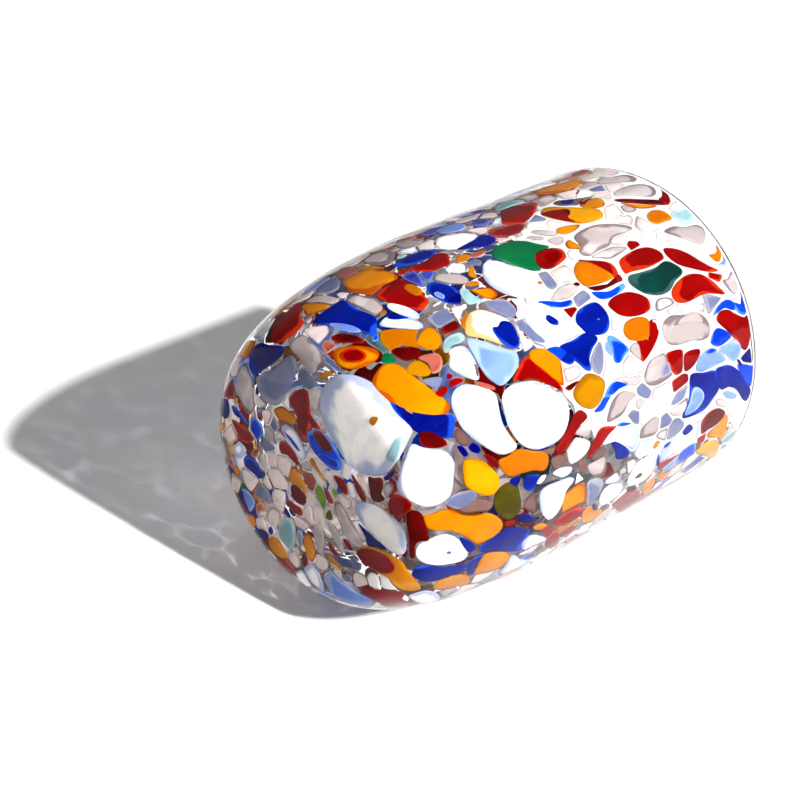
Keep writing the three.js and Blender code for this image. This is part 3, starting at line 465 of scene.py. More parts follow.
# The same for chips that lie on others
SIDE_SPOTS = {
    "cobalt": (
        (30.2, 38, 30.8, 36.5, 32, 37, 33.5, 36, 35, 37, 35.5, 39, 35, 42, 34.2, 45, 32.5, 45.7, 31, 44,
         30.3, 41.5),
        (13.8, 15.5, 14.8, 14.5, 16, 17, 17, 19.7, 15.8, 19, 14.5, 17.5),
        (44, 41.5, 45.3, 40.5, 46.8, 43.5, 46, 44.8, 44.5, 43.7),
        (71, 98.8, 72.5, 98, 73.8, 98.8, 72.3, 99.8),
        (77.8, 97, 79.8, 95.3, 82, 98, 80.5, 99.3, 79, 99),
        (89, 81, 92, 80.5, 95, 81.7, 98.5, 85.5, 101.5, 91, 104, 95.5, 103.3, 99, 101, 97.3, 98, 92.3,
         94.5, 89.2, 91, 88.3),
    ),
    "navy": (
        (78, 2.5, 79.5, 1.3, 82, 2.7, 81, 4.3, 79.3, 4.7),
        (48, 108, 49, 108.3, 50.8, 111, 50.5, 112, 49.3, 110.8),
        (26.5, 22, 28, 21.5, 30.3, 20.8, 29.7, 23, 28.7, 24),
    ),
    "sky": (
        (25.7, 18.5, 26, 16.7, 27, 17, 27.3, 19.3, 26.4, 20.2),
        (77.7, 90.7, 79.3, 87, 80.5, 83, 82.5, 83.3, 84.5, 86, 84.8, 88.5, 83, 90.8, 80.5, 91.4),
        (5.8, 1, 6.9, 4, 7.8, 9, 7.9, 13, 6.9, 12, 5.9, 7), (57.2, 48.3, 57.8, 48.3, 57.5, 48.8),
    ),
    "red": (
        (70, 4, 73, 4, 75.5, 5.3, 77, 7.3, 75.5, 9.5, 73.8, 10.8, 74, 14, 72.5, 13, 71, 10, 70.3, 7),
        (53.2, 24, 54, 21.5, 56, 19.4, 58.5, 19.3, 61, 20, 62.7, 22, 62, 25, 60, 26.2, 56, 27, 53.7,
         26),
    ),
    "maroon": (
        (75.7, 5.8, 76.9, 7.1, 76, 9, 74.7, 9.6, 74.8, 7.2),
        (81.2, 7.2, 82.3, 6.1, 84.5, 5.9, 86, 6.4, 83.8, 6.9, 82, 8),
    ),
    "orange": (
        (59.3, 34, 60.5, 30.5, 63.5, 28.5, 66, 30.5, 68, 34.5, 69, 38.1, 66, 38.6, 62, 38, 60, 37.3),
        (22.5, 9, 24, 7.8, 24.8, 9.5, 24.8, 13, 23.7, 14.5, 22.5, 13.5),
    ),
    "olive": (
        (62.5, 106, 63.8, 105, 65.2, 106, 65, 107.3, 63.3, 106.8),
    ),
    "azure": (
        (86.3, 73.4, 88.5, 72.8, 90.7, 74.3, 88.5, 74.6),
    ),
    "lavender": (
        (69.7, 74, 71, 71.3, 73.2, 70.3, 73.5, 73.8, 71.5, 74.2),
        (7.2, 104.8, 7.9, 104.5, 8.3, 105.6, 7.6, 106),
    ),
    "blush": (
        (78.5, 60.5, 81, 59.2, 85, 60, 88.6, 61.7, 88.5, 64.2, 86, 62.8, 82, 61.3),
    ),
}

# Chips of the closed end, by colour: rings of points given as across (front positive) and up
# from the axis, in millimetres
FOOT_CHIPS = {
    "azure": (
        (-1, 9, 0, 10.3, 3, 11.3, 6.5, 10, 9, 6.7, 8.8, 4.3, 6, 3.4, 2.5, 4.7, 0, 6.5),
    ),
    "red": (
        (-14.3, 31.5, -12.5, 32.5, -9, 32.1, -6, 31.8, -6, 30.5, -8, 28.3, -10, 27.1, -12, 26.8, -14,
         28, -14.5, 30),
        (-6, 15.2, -4.5, 17.5, -2, 19.3, -0.5, 19, 0, 16, 0.1, 13, -1, 9.5, -2, 8, -3.5, 9, -4, 12),
        (-24.8, 4, -22.5, 4.1, -19.5, 3.5, -17.8, 1.8, -19.3, 0.3, -21.8, -0.2, -23.3, 1.5),
        (-9.8, 2.5, -9.5, 4.2, -8, 4.8, -6, 4, -4.2, 2.3, -4, 0.5, -5.5, 1, -7.5, 1.8, -9, 1.5),
        (-35, -9, -35.2, -4, -34.6, 0, -34.1, -3, -34.1, -8, -34.5, -10),
        (-8, -9.7, -6.8, -9.1, -5, -9.4, -3.2, -9.7, -3, -11, -4, -11.6, -6.3, -11.3, -7.6, -10.6),
        (22.5, 2, 24, 4.3, 26, 5, 28.7, 3.5, 26.9, 1, 25, -0.5, 23, 0),
        (14, -22.3, 16.5, -21.2, 20, -20.3, 23.5, -19.8, 24, -21, 22.7, -23, 22, -25.5, 19.5, -27.5,
         17.8, -27, 17.8, -24.3),
        (9.2, -12, 10.5, -11.8, 12.2, -13.3, 11, -14, 9.8, -13),
        (4.8, -14.7, 6.5, -15.2, 8.2, -17, 6.5, -17, 5.2, -16.2),
        (12, 4.5, 13.5, 3.5, 15.5, 1.5, 16.2, -0.2, 15, -0.5, 13.2, 1.5),
        (6.8, 2, 8.2, 2.5, 10, 2, 11, 0, 10.5, -1, 8.8, -0.5),
        (-16.3, 7.5, -15.9, 9, -15.1, 8.5, -15.3, 7.5),
    ),
    "navy": (
        (-18.5, 20.5, -17.8, 23.5, -15.5, 25.3, -12, 26, -9, 26.9, -7.3, 26.8, -8, 24.8, -11.5, 21.6,
         -14.5, 19.1, -16.5, 17.4, -18, 18),
        (13.7, -6.5, 16, -7.2, 19.5, -8.5, 21.8, -9.5, 19.5, -9.9, 16.5, -10.6, 15.8, -8.8),
        (-29, 4.5, -28, 8, -25.8, 8.3, -25.5, 5.3, -27, 3.5),
        (-21.8, -23.5, -20, -22.3, -18, -20.5, -15.5, -20, -14.2, -20.7, -14.6, -21.9, -16.5, -22.2,
         -18.2, -23.7, -20, -25.5, -21.5, -25),
        (-36, 8, -35, 12, -34, 13.5, -34.2, 11.5, -35.2, 8),
        (21.3, 7.2, 22.5, 8.5, 24, 10, 24.5, 10.4, 24, 8.8, 22.3, 7),
    ),
    "lavender": (
        (-16.5, 16.5, -15, 18.1, -11, 20.9, -7.5, 24.3, -5, 25.8, -3.6, 24.5, -4.7, 20, -7, 16.5, -9.5,
         13, -12.5, 12, -15, 13),
        (-4.7, -15.5, -3.2, -15.5, -3.3, -18.5, -4, -19.7, -4.8, -17.5),
        (11.5, -15.7, 13.5, -15.8, 14.6, -16.5, 14, -17.8, 12, -17.5),
        (33, 3.5, 34, 5, 35.3, 4.5, 35.5, 2, 34.5, 1),
        (9.3, -20.8, 11, -20, 11.7, -21, 10.5, -22, 9.5, -21.8),
    ),
    "white": (
        (3, 18, 4, 21.5, 6.5, 24.5, 9.5, 26.5, 13, 27, 17, 26, 20.5, 24, 23, 21.5, 25.3, 19.8, 26.2, 18,
         25.7, 14, 24, 11, 21.5, 8, 18.5, 6.5, 15, 5.8, 12, 6.2, 9, 8, 6.5, 10.5, 4, 13.5, 3, 16),
        (26.8, 16, 28.5, 15.2, 31, 14, 32.5, 11.5, 33.2, 8, 33.4, 5, 32.7, 3.5, 31.5, 3, 30, 3.5, 27, 5,
         24.8, 6.3, 25.7, 10, 26.5, 13),
        (13, -2, 16, -0.5, 20, 0, 24, -1, 26.8, -2.5, 27.5, -5, 27.2, -8, 25, -9.3, 22, -9, 18.5, -7.6,
         15, -6, 13, -4),
        (-3, -24.5, -1, -22.3, 1, -23, 3, -25.5, 3, -28, 1, -27.8, -1.3, -26.7),
        (-9, 7.5, -7.5, 9, -4.5, 8.5, -2.2, 5.5, -1.8, 3, -3, 2.2, -5, 3.5, -7.5, 5.8),
        (23.5, -23.3, 24.5, -21.5, 26.8, -20.7, 26, -24, 23, -28, 21, -29.2),
    ),
    "cobalt": (
        (-21.3, -5.5, -21.2, -4, -19.8, -2.9, -17.5, -3.4, -16, -5.1, -15.2, -6, -16, -7.3, -18.5, -6.8,
         -20.5, -6.3),
        (-33.2, -12, -32.3, -12, -31.5, -15, -31, -18.3, -32, -17, -33, -14.5),
        (-24.5, 7.5, -23, 7.6, -21, 6.2, -19.2, 4.8, -21.5, 5.3, -23.8, 5.8),
        (-14, -19.3, -13.3, -18, -12.5, -18.7, -12.8, -19.8, -13.6, -20),
    ),
    "sky": (
        (4, -24.5, 4.3, -22.2, 5.5, -21.5, 8, -22.5, 12, -23.2, 15.5, -23.5, 17, -24.5, 15.5, -26.5, 12,
         -28, 8, -28.3, 5.5, -27.5),
        (-22.8, -13.5, -22, -12, -19.8, -12.3, -18.2, -14, -19.3, -16.5, -20.5, -17, -22, -15.5),
        (-28.3, -16.7, -26.5, -16.5, -25, -19, -25, -20.8, -26.5, -20.5, -27.8, -18.7),
        (-8, -34.5, -3, -33.8, 3, -33, 8, -33, 7, -34.8, 2, -35.7, -5, -35.8),
    ),
    "amber": (
        (13, -13.5, 15, -11.3, 19, -10.2, 23, -10, 26, -10.5, 27, -13, 27.3, -17, 26.3, -20, 24.3,
         -19.5, 23.5, -17, 22.3, -16, 19, -16, 15.5, -15.3),
        (5.5, 30, 7, 31, 10, 31.4, 13, 31, 14.3, 29.8, 13.2, 28.6, 11, 27.8, 8, 27.9, 6.3, 28.8),
        (-24, 19.5, -22.5, 22.5, -19, 24.3, -17.6, 24.3, -18.8, 21.5, -20, 20.3),
        (-31.5, -1.2, -30, 1, -27.5, 2.5, -27, 1.5, -29, -0.3, -30.5, -1.3),
        (-6, -1.5, -5, -0.7, -3, -2, -1.7, -4, -2, -5.6, -3.5, -4.4, -5.5, -3.5),
        (-25, -8.3, -24.3, -6.8, -22.8, -7.8, -23, -9.2, -24.3, -9),
        (-14, -21.5, -12.8, -20.4, -11, -20.5, -9, -22.3, -8.3, -23.7, -10, -24.8, -12.5, -24.7, -14,
         -23.5),
        (-21, -26, -18.5, -25.9, -15.8, -26.1, -14.3, -27, -15, -28.8, -17, -28.8, -19.5, -27.8),
        (-2.8, -18, -2.3, -15.5, -1, -15, 0.3, -17, 0.5, -20, -0.5, -21.7, -2, -20.5),
        (-22, -30, -19, -31, -15, -32.7, -17, -32.8, -19, -32.3, -21.3, -31.3),
        (-0.5, 3, 0.5, 4, 1.2, 3, 3.3, 1.2, 4.8, -0.3, 2.5, 1, 0.5, 2),
        (-33.5, 12.5, -32, 15, -30, 17, -30.5, 15, -32, 13),
        (3, 24, 5, 25.5, 7.5, 26.3, 6, 24.9, 4, 23.4),
    ),
    "maroon": (
        (3, 31.7, 4.5, 32.5, 8, 32.5, 10, 31.8, 7.5, 31.6, 5, 31.3),
        (27.2, 18, 28, 18.2, 30, 16.4, 30.9, 15, 30, 14.7, 28, 15.8),
        (16.8, 5.6, 18.3, 6, 20.5, 6.8, 21, 5, 20.3, 2.5, 21.5, 2.3, 20, 1, 18, 0.7, 17.2, 2.5),
        (27.5, 1, 29, 2.3, 30.5, 1.5, 31.2, -2, 31.2, -5, 30, -5, 28.9, -7, 28.7, -9.5, 28, -9, 28, -4),
        (-6.3, -5.2, -5, -4.6, -3, -5.3, -1.8, -6.3, -2.2, -8.3, -4, -8.8, -5.8, -8.3, -6.5, -6.8),
        (-25.5, -14.5, -23, -15.2, -21, -17.3, -23, -17.8, -24.5, -20, -25.3, -18.4),
        (-18.5, -24.8, -16.5, -22.9, -14.8, -22.5, -14.3, -24, -15.5, -25.7, -17.5, -25.9),
        (-3.7, -22, -2.8, -20.2, -1.7, -21.8, -2.2, -24, -3.3, -23.3),
        (-17, -31.3, -13, -31.8, -11.5, -32.1, -14, -32.3),
    ),
    "crimson": (
        (-14.7, -29, -12, -26, -9.5, -24.7, -7.5, -24.8, -6, -26.5, -8.3, -29.3, -10.5, -30.5, -13.5,
         -30),
        (-35.5, 13.8, -34, 17, -32.5, 20.3, -33, 17.5, -34.2, 14),
        (-27, 9, -25.5, 12, -24, 14.5, -23.3, 11, -24, 9.3),
        (3.8, -1.7, 5, -2, 6.7, -4, 6, -4.8, 4.6, -4.3),
    ),
    "salmon": (
        (-19, -2.3, -18, -0.9, -16.5, 0, -15.6, 0.5, -16.8, -1.5, -17.5, -2.7),
        (18.3, -27.8, 20.3, -27.5, 18.5, -30.5, 13, -34, 7.5, -36, 9, -34.3, 14, -31),
        (-18, -14.8, -16.5, -13, -15, -13.3, -14.8, -14.8, -16.5, -15.7, -17.6, -17),
        (-34, -11, -33.8, -12.2, -33.5, -14, -34.5, -12.6),
    ),
    "lime": (
        (1.2, -3, 2.3, -1.8, 3.7, -3, 4.2, -5, 4.2, -7, 3, -6.5, 1.5, -5),
        (6.3, -1.2, 7.3, -0.8, 8, -2, 7.2, -2.9, 6.4, -2.3),
    ),
    "olive": (
        (4.5, -7.5, 5.5, -6.5, 6.2, -8, 5.5, -9, 4.2, -8.8),
    ),
    "aqua": (
        (-10.8, -17, -9, -14.5, -7, -13.5, -5.5, -15, -5.5, -19, -7, -21.5, -9, -21, -10.5, -19.5),
    ),
    "ochre": (
        (4, -17.7, 5.5, -17.5, 8, -18.5, 9.5, -19.5, 7, -19.7, 5, -19),
    ),
    "blush": (
        (-6.3, 28.2, -4, 30.5, 0, 30, 3.5, 29, 5, 27, 3, 25.3, 1, 23.5, -2.5, 25.5, -4.8, 26.8),
        (-23, 12, -22, 16.5, -20, 19.5, -18.3, 17.5, -17.5, 13, -17.8, 8.5, -19.5, 7.2, -21, 8.5),
        (-31.5, -5, -30.5, -2.5, -28, -1.7, -26, -4, -26.5, -7, -29, -9, -31, -8.3),
        (-16.2, -1.7, -15, -0.7, -13.5, -2.5, -13.8, -4.5, -15, -5, -15.9, -3.5),
        (6.7, -4.3, 8.5, -3.7, 12, -7, 15, -10.5, 13.5, -12.2, 10, -10.8, 7.7, -7.5),
        (4.8, -9.8, 7, -10, 9.3, -13.5, 9, -16, 7, -14, 5.3, -11.5),
        (0, -13, 1.5, -11.5, 3.5, -12, 3.4, -16, 2.5, -18.5, 1, -17),
        (21.2, 5, 22.5, 6.8, 23.9, 6.2, 23.5, 4.7, 22, 3),
        (-9, -32.8, -5, -31.9, -1, -31.7, 2, -32, 0, -33, -5, -33.5),
    ),
}

# The same for chips that lie on others
FOOT_SPOTS = {
    "red": (
        (7.3, 30, 8.5, 30.8, 10.5, 30.8, 12.3, 30.1, 12.2, 29.2, 10, 28.8, 8.2, 29.1),
        (13.3, -13.5, 15.5, -11.6, 19, -10.8, 22.5, -10.9, 24.5, -12.3, 23.5, -14.3, 20.5, -15.5, 17,
         -15.5, 14.5, -15),
        (-0.2, 14.3, 2.5, 12.8, 3.3, 11.9, 0.8, 11.4),
    ),
    "maroon": (
        (1, 10.3, 3.5, 11.3, 6.3, 9.3, 6.8, 8, 4.5, 7.3, 2.2, 8.3),
    ),
    "violet": (
        (-8, 7.3, -5.5, 6.6, -3, 4.6, -4, 4.4, -6, 5.7),
    ),
    "ochre": (
        (17.5, 18.7, 18.3, 20, 19.7, 20.3, 19.5, 19.2, 18.5, 18.1),
    ),
    "aqua": (
        (22, 12.3, 23.2, 14.5, 24, 16.8, 25, 17.2, 25.2, 14, 24.5, 12, 23, 11.5),
    ),
    "navy": (
        (-22.9, -13.3, -22, -12.4, -21.4, -14.5, -20, -16.8, -21.8, -15.6),
        (-27, -16.8, -26, -17, -24.7, -20, -25.2, -20.6, -26.3, -18.5),
    ),
    "azure": (
        (2.5, 5, 5, 4.3, 8.3, 4.6, 8.3, 6.3, 6, 6.2, 3.5, 6.3),
    ),
}

# How often each colour comes among the scattered chips
SCATTER_MIX = {
    "red": 17, "amber": 13, "cobalt": 12, "white": 14, "blush": 7, "milk": 10, "sky": 7, "azure": 6,
    "orange": 5, "yellow": 4, "lavender": 5, "maroon": 4, "green": 2, "bottle_green": 2, "olive": 2,
    "salmon": 3, "ochre": 2, "aqua": 3, "navy": 2, "cream": 2,
}
# The same for those that are near colourless, and how many of the scattered chips they are on the
# closed end, between drawn chips and on the bare side. Between drawn chips, on the lit side, they
# are partly painted light: their pale colour stands for light that shines through the clear gaps,
# besides the pale chips that the glass has.
PALE_MIX = {"milk": 70, "white": 16, "blush": 8, "lavender": 6}
PALE_SHARES = (0.70, 0.84, 0.20)


def number(name, description, default, **unit):
    """A setting that holds a plain number, or one in the unit or subtype given."""
    return bpy.props.FloatProperty(name=name, description=description, default=default, **unit)


def length(name, description, default):
    """A setting that holds a length."""
    return number(name, description, default, unit="LENGTH")


class TumblerShape(bpy.types.PropertyGroup):
    """Sizes of the clear glass."""

    foot_radius: length("Foot radius", "Radius of the flat underside", 27 * MM)
    taper_height: length("Taper height", "Height at which the side becomes straight", 50 * MM)
    wall: length("Wall", "Wall thickness of the straight part", 3.4 * MM)
    base_thickness: length("Base thickness", "Clear glass under the hollow", 10 * MM)
    floor_radius: length("Hollow floor radius", "Flat bottom of the hollow", 17 * MM)
    hollow_taper: length("Hollow taper", "Height over which the hollow widens", 42 * MM)
    lip_round: length("Lip radius", "Radius of the fire-polished lip", 1.6 * MM)
    waviness: length("Waviness", "Depth of the soft waves left by blowing", 0.1 * MM)


class ChipSettings(bpy.types.PropertyGroup):
    """How the chips lie in the glass."""

    depth: length("Depth", "Clear glass over a chip", 0.45 * MM)
    spot_depth: length("Spot depth", "Clear glass over a chip that lies on another", 0.18 * MM)
    thickness: length("Thickness", "Thickness of a chip in its middle", 0.8 * MM)
    gap: length("Gap", "Clear glass between scattered chips", 0.42 * MM)
    stretch: number("Stretch", "How much blowing has drawn the scattered chips out along the axis", 1.3)
    seed: bpy.props.IntProperty(name="Seed", description="Start of the random numbers", default=7)


class StudioSettings(bpy.types.PropertyGroup):
    """Camera and light."""

    azimuth: number("Azimuth", "Camera's turn, 0 looking along +Y", math.radians(-46.2), subtype="ANGLE")
    elevation: number("Elevation", "Camera's height above level", math.radians(26.5), subtype="ANGLE")
    distance: length("Distance", "From the camera to the tumbler's middle", 0.440)
    lens: number("Lens", "Focal length in millimetres", 87.0)
    aim_left: length("Aim left", "How far left of the middle the camera aims", 17.8 * MM)
    aim_low: length("Aim low", "How far below the middle the camera aims", 1.4 * MM)
    key_power: number("Key light", "Power of the main light", 410.0, unit="POWER")
    key_size: length("Key size", "Width of the main light", 0.16)
    fill_power: number("Fill light", "Power of the light on the closed end", 5.5, unit="POWER")
    sky_strength: number("Room light", "Strength of the even light", 0.24)


# --- The glass surface -------------------------------------------------------------------------


def full_turn(steps):
    """Angles of equal steps around."""
    return np.arange(steps) * 2 * math.pi / steps


def around_axis(radius, height, turn):
    """Places given by radius, height above the foot and turn about the axis, which runs from the
    top towards the front: x = foot + height, y = -radius sin turn, z = radius cos turn."""
    y = AXIS_Y - radius * np.sin(turn)
    z = AXIS_Z + radius * np.cos(turn)
    return np.stack([FOOT_X + height, y, z], -1)


def outside_curve(shape, steps=TAPER_STEPS):
    """Outside of the glass as radius and height: across the flat foot, then up a quarter ellipse
    whose middle is on the taper height, radius = foot + (side - foot) sin t and
    height = taper height (1 - cos t). Also the angle of the surface from facing down to out."""
    foot, taper = shape.foot_radius, shape.taper_height
    flat = np.linspace(0, 1, steps // 4, endpoint=False)
    t = np.linspace(0, math.pi / 2, steps)
    radius = np.concatenate([foot * flat, foot + (RADIUS - foot) * np.sin(t)])
    height = np.concatenate([0 * flat, taper * (1 - np.cos(t))])
    facing = np.arctan2(np.sin(t) / (RADIUS - foot), np.cos(t) / taper)
    return radius, height, np.concatenate([0 * flat, facing])


def on_glass(points, shape):
    """Nearest places on the ideal outside and the outward directions there. Above the taper
    height a point moves square to the axis; below it, along the ray from the axis at that height."""
    radius, height, facing = outside_curve(shape)
    taper = shape.taper_height
    ray_angle = np.arctan2(radius, taper - height)
    ray_length = np.hypot(radius, taper - height)
    h = np.minimum(points[..., 0] - FOOT_X, HEIGHT - 1.2 * shape.lip_round)
    y = points[..., 1] - AXIS_Y
    z = points[..., 2] - AXIS_Z
    rho = np.maximum(np.hypot(y, z), 1e-9)
    angle = np.arctan2(rho, np.maximum(taper - h, 0))
    ray = np.interp(angle, ray_angle, ray_length)
    face = np.interp(angle, ray_angle, facing)
    straight = h >= taper
    r = np.where(straight, RADIUS, ray * np.sin(angle))
    x = np.where(straight, h, taper - ray * np.cos(angle))
    face = np.where(straight, math.pi / 2, face)
    place = np.stack([FOOT_X + x, AXIS_Y + r * y / rho, AXIS_Z + r * z / rho], -1)
    normal = np.stack([-np.cos(face), np.sin(face) * y / rho, np.sin(face) * z / rho], -1)
    return place, normal


def waves(height, turn, depth):
    """Soft waves of the blown surface: three sines that close around the axis."""
    a = np.sin(3 * turn + 55 * height + 0.6)
    b = np.sin(5 * turn - 90 * height + 2.1)
    c = np.sin(11 * turn + 210 * height)
    return depth * (0.45 * a + 0.35 * b + 0.2 * c)


def glass_profile(shape):
    """Closed section of the glass as radius and height: outside, rounded lip, then down the
    hollow, whose side is a quarter ellipse on a flat floor."""
    steps, lip, base = SKIN_STEPS, shape.lip_round, shape.base_thickness
    inner = RADIUS - shape.wall
    radius, height, _ = outside_curve(shape, steps["taper"])
    top = np.linspace(shape.taper_height, HEIGHT - lip, steps["side"])[1:]
    t = np.linspace(0, math.pi / 2, steps["lip"])[1:]
    down = np.linspace(HEIGHT - lip, base + shape.hollow_taper, steps["wall"])[1:]
    u = np.linspace(math.pi / 2, 0, steps["hollow"])[1:]
    floor = np.linspace(shape.floor_radius, 0, steps["floor"])[1:]
    sections = (
        (radius, height),
        (RADIUS + 0 * top, top),
        (RADIUS - lip + lip * np.sin(t + math.pi / 2), HEIGHT - lip + lip * np.sin(t)),
        (inner + lip - lip * np.sin(t), HEIGHT - lip + lip * np.cos(t)),
        (inner + 0 * down, down),
        (
            shape.floor_radius + (inner - shape.floor_radius) * np.sin(u),
            base + shape.hollow_taper * (1 - np.cos(u)),
        ),
        (floor, base + 0 * floor),
    )
    return tuple(np.concatenate(part) for part in zip(*sections))


def ring_faces(rows, cols):
    """Faces of a grid of closed rings, one after the other, and of the fans from its first and
    last ring to the two vertices that follow the grid."""
    i = np.arange(rows - 1)[:, None] * cols
    j = np.arange(cols)[None, :]
    k = (j + 1) % cols
    last = (rows - 1) * cols
    quads = np.stack([i + j, i + k, i + cols + k, i + cols + j], -1).reshape(-1, 4)
    first_fan = np.stack([np.full(cols, rows * cols), k[0], j[0]], -1)
    last_fan = np.stack([np.full(cols, rows * cols + 1), last + j[0], last + k[0]], -1)
    return quads, np.concatenate([first_fan, last_fan])


def turned_over(faces):
    """The same faces seen from the other side, each from the same corner on."""
    return np.roll(faces[:, ::-1], 1, axis=1)


def revolved_mesh(name, radius, height, depth):
    """Surface of revolution about the tumbler's axis: a grid of profile point by turn, with one
    vertex at each pole, moved out by the waves, which fade towards the axis."""
    r, h = radius[1:-1], height[1:-1]
    grid_h, grid_t = np.meshgrid(h, full_turn(TURN_STEPS), indexing="ij")
    fade = np.clip(r / RADIUS, 0, 1)[:, None] ** 3
    grid_r = r[:, None] + fade * waves(grid_h, grid_t, depth) - WAVE_SETBACK * depth * fade
    rings = around_axis(grid_r, grid_h, grid_t).reshape(-1, 3)
    poles = np.array([[FOOT_X + end, AXIS_Y, AXIS_Z] for end in (height[0], height[-1])])
    return make_mesh(name, np.concatenate([rings, poles]), ring_faces(len(r), TURN_STEPS))


def make_mesh(name, points, face_sets, uv=None, shade=None):
    """A smooth mesh from arrays: vertex places, arrays of quads and of triangles, and per-vertex
    pattern place and shade."""
    mesh = bpy.data.meshes.new(name)
    corners = np.concatenate([faces.ravel() for faces in face_sets]).astype(np.int32)
    sizes = np.concatenate([np.full(len(faces), faces.shape[1]) for faces in face_sets]).astype(np.int32)
    starts = np.concatenate([[0], np.cumsum(sizes)[:-1]]).astype(np.int32)
    mesh.vertices.add(len(points))
    mesh.vertices.foreach_set("co", points.astype(np.float32).ravel())
    mesh.loops.add(len(corners))
    mesh.loops.foreach_set("vertex_index", corners)
    mesh.polygons.add(len(sizes))
    mesh.polygons.foreach_set("loop_start", starts)
    mesh.polygons.foreach_set("loop_total", sizes)
    mesh.polygons.foreach_set("use_smooth", np.ones(len(sizes), dtype=bool))
    if uv is not None:
        layer = mesh.uv_layers.new(name="ChipPlace")
        layer.data.foreach_set("uv", uv[corners].astype(np.float32).ravel())
    if shade is not None:
        attribute = mesh.attributes.new("chip_shade", "FLOAT", "POINT")
        attribute.data.foreach_set("value", shade.astype(np.float32))
    mesh.update(calc_edges=True)
    mesh.validate()
    return mesh


# --- Chips -------------------------------------------------------------------------------------


def frames_at(points, hints, shape):
    """Places on the glass with the hint laid flat on the glass, and the direction across it."""
    place, normal = on_glass(points, shape)
    along = hints - (hints * normal).sum(-1, keepdims=True) * normal
    along /= np.linalg.norm(along, axis=-1, keepdims=True)
    return place, along, np.cross(normal, along)


def spoke_directions(along, across):
    """Directions of a chip's spokes in its tangent plane, one for each step of a full turn."""
    t = full_turn(SPOKES)[:, None]
    return np.cos(t) * along[..., None, :] + np.sin(t) * across[..., None, :]


def straight_edge_spokes(directions, distances, power):
    """Distance from the middle to the edge of a shape bounded by straight lines, given by their
    directions and distances, with its corners rounded: the power sum of cos(angle) / distance."""
    facing = np.maximum(np.cos(full_turn(SPOKES)[:, None] - directions), 0)
    return ((facing / distances) ** power).sum(-1) ** (-1 / power)


def side_points(rows, shape):
    """Places on the side given by height and turn, at the radius the outside has there."""
    radius, height, _ = outside_curve(shape)
    h = rows[:, 0] * MM
    r = np.interp(h, height[-TAPER_STEPS:], radius[-TAPER_STEPS:])
    return around_axis(r, h, np.radians(rows[:, 1]))


def foot_points(rows, shape):
    """Places on the closed end given by across and up, at the height the outside has there."""
    radius, height, _ = outside_curve(shape)
    across, up = rows[:, 0] * MM, rows[:, 1] * MM
    h = np.interp(np.hypot(across, up), radius, height)
    return np.stack([FOOT_X + h, AXIS_Y - across, AXIS_Z + up], -1)


def smooth_ring(points):
    """Closed curve through the points: from each to the next, the cubic whose slopes at its ends
    are half the way between their neighbours. Then places at equal steps of its length."""
    t = np.linspace(0, 1, CURVE_STEPS, endpoint=False)[:, None, None]
    before, here, after, beyond = (np.roll(points, shift, 0) for shift in (1, 0, -1, -2))
    square = 2 * before - 5 * here + 4 * after - beyond
    cube = 3 * (here - after) + beyond - before
    curve = here + 0.5 * t * (after - before + t * (square + t * cube))
    curve = curve.transpose(1, 0, 2).reshape(-1, 3)
    curve = np.concatenate([curve, curve[:1]])
    run = np.concatenate([[0], np.cumsum(np.linalg.norm(np.diff(curve, axis=0), axis=1))])
    steps = np.arange(SPOKES) / SPOKES * run[-1]
    return np.stack([np.interp(steps, run, curve[:, i]) for i in range(3)], -1)


def listed_chips(table, points_of, shape):
    """Chips of one of the tables above: their colours, middles and outline offsets, running
    counter-clockwise as seen from outside."""
    colours, places, offsets = [], [], []
    for colour, chips in table.items():
        for chip in chips:
            ring = smooth_ring(points_of(np.array(chip, float).reshape(-1, 2), shape))
            place, normal = on_glass(ring.mean(0), shape)
            offset = ring - place
            turned = np.cross(offset, np.roll(offset, -1, 0)).sum(0) @ normal
            colours.append(colour)
            places.append(place)
            offsets.append(offset if turned > 0 else offset[::-1])
    return colours, np.array(places), np.array(offsets)


def node_outline(node, shape):
    """A packed chip's place and outline offsets. Its outer face is measured against lines square
    to equal steps of direction in its tangent plane, and those lines bound the outline."""
    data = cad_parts[node].data
    points = np.empty(len(data.vertices) * 3)
    data.vertices.foreach_get("co", points)
    points = points.reshape(-1, 3)
    surface, _ = on_glass(points, shape)
    outer = points[np.linalg.norm(points - surface, axis=1) < OUTER_FACE]
    middle = (outer.min(0) + outer.max(0)) / 2
    hint = np.array([[1.0, 0, 0]]) if middle[0] > FOOT_X + END_CHIPS else np.array([[0, 0, 1.0]])
    place, along, across = frames_at(middle[None], hint, shape)
    flat = np.stack([(outer - place) @ along[0], (outer - place) @ across[0]], -1)
    t = full_turn(FACE_SIDES)
    reach = (flat @ np.stack([np.cos(t), np.sin(t)])).max(0)
    shift = np.array([(reach * np.cos(t)).mean(), (reach * np.sin(t)).mean()]) * 2
    reach = reach - shift[0] * np.cos(t) - shift[1] * np.sin(t)
    place, along, across = frames_at(place + shift[0] * along + shift[1] * across, hint, shape)
    spokes = straight_edge_spokes(t, np.maximum(reach, SMALLEST_REACH), FACE_ROUNDING) * FACE_GROWTH
    return place, (spokes[:, None] * spoke_directions(along, across)[0])[None]


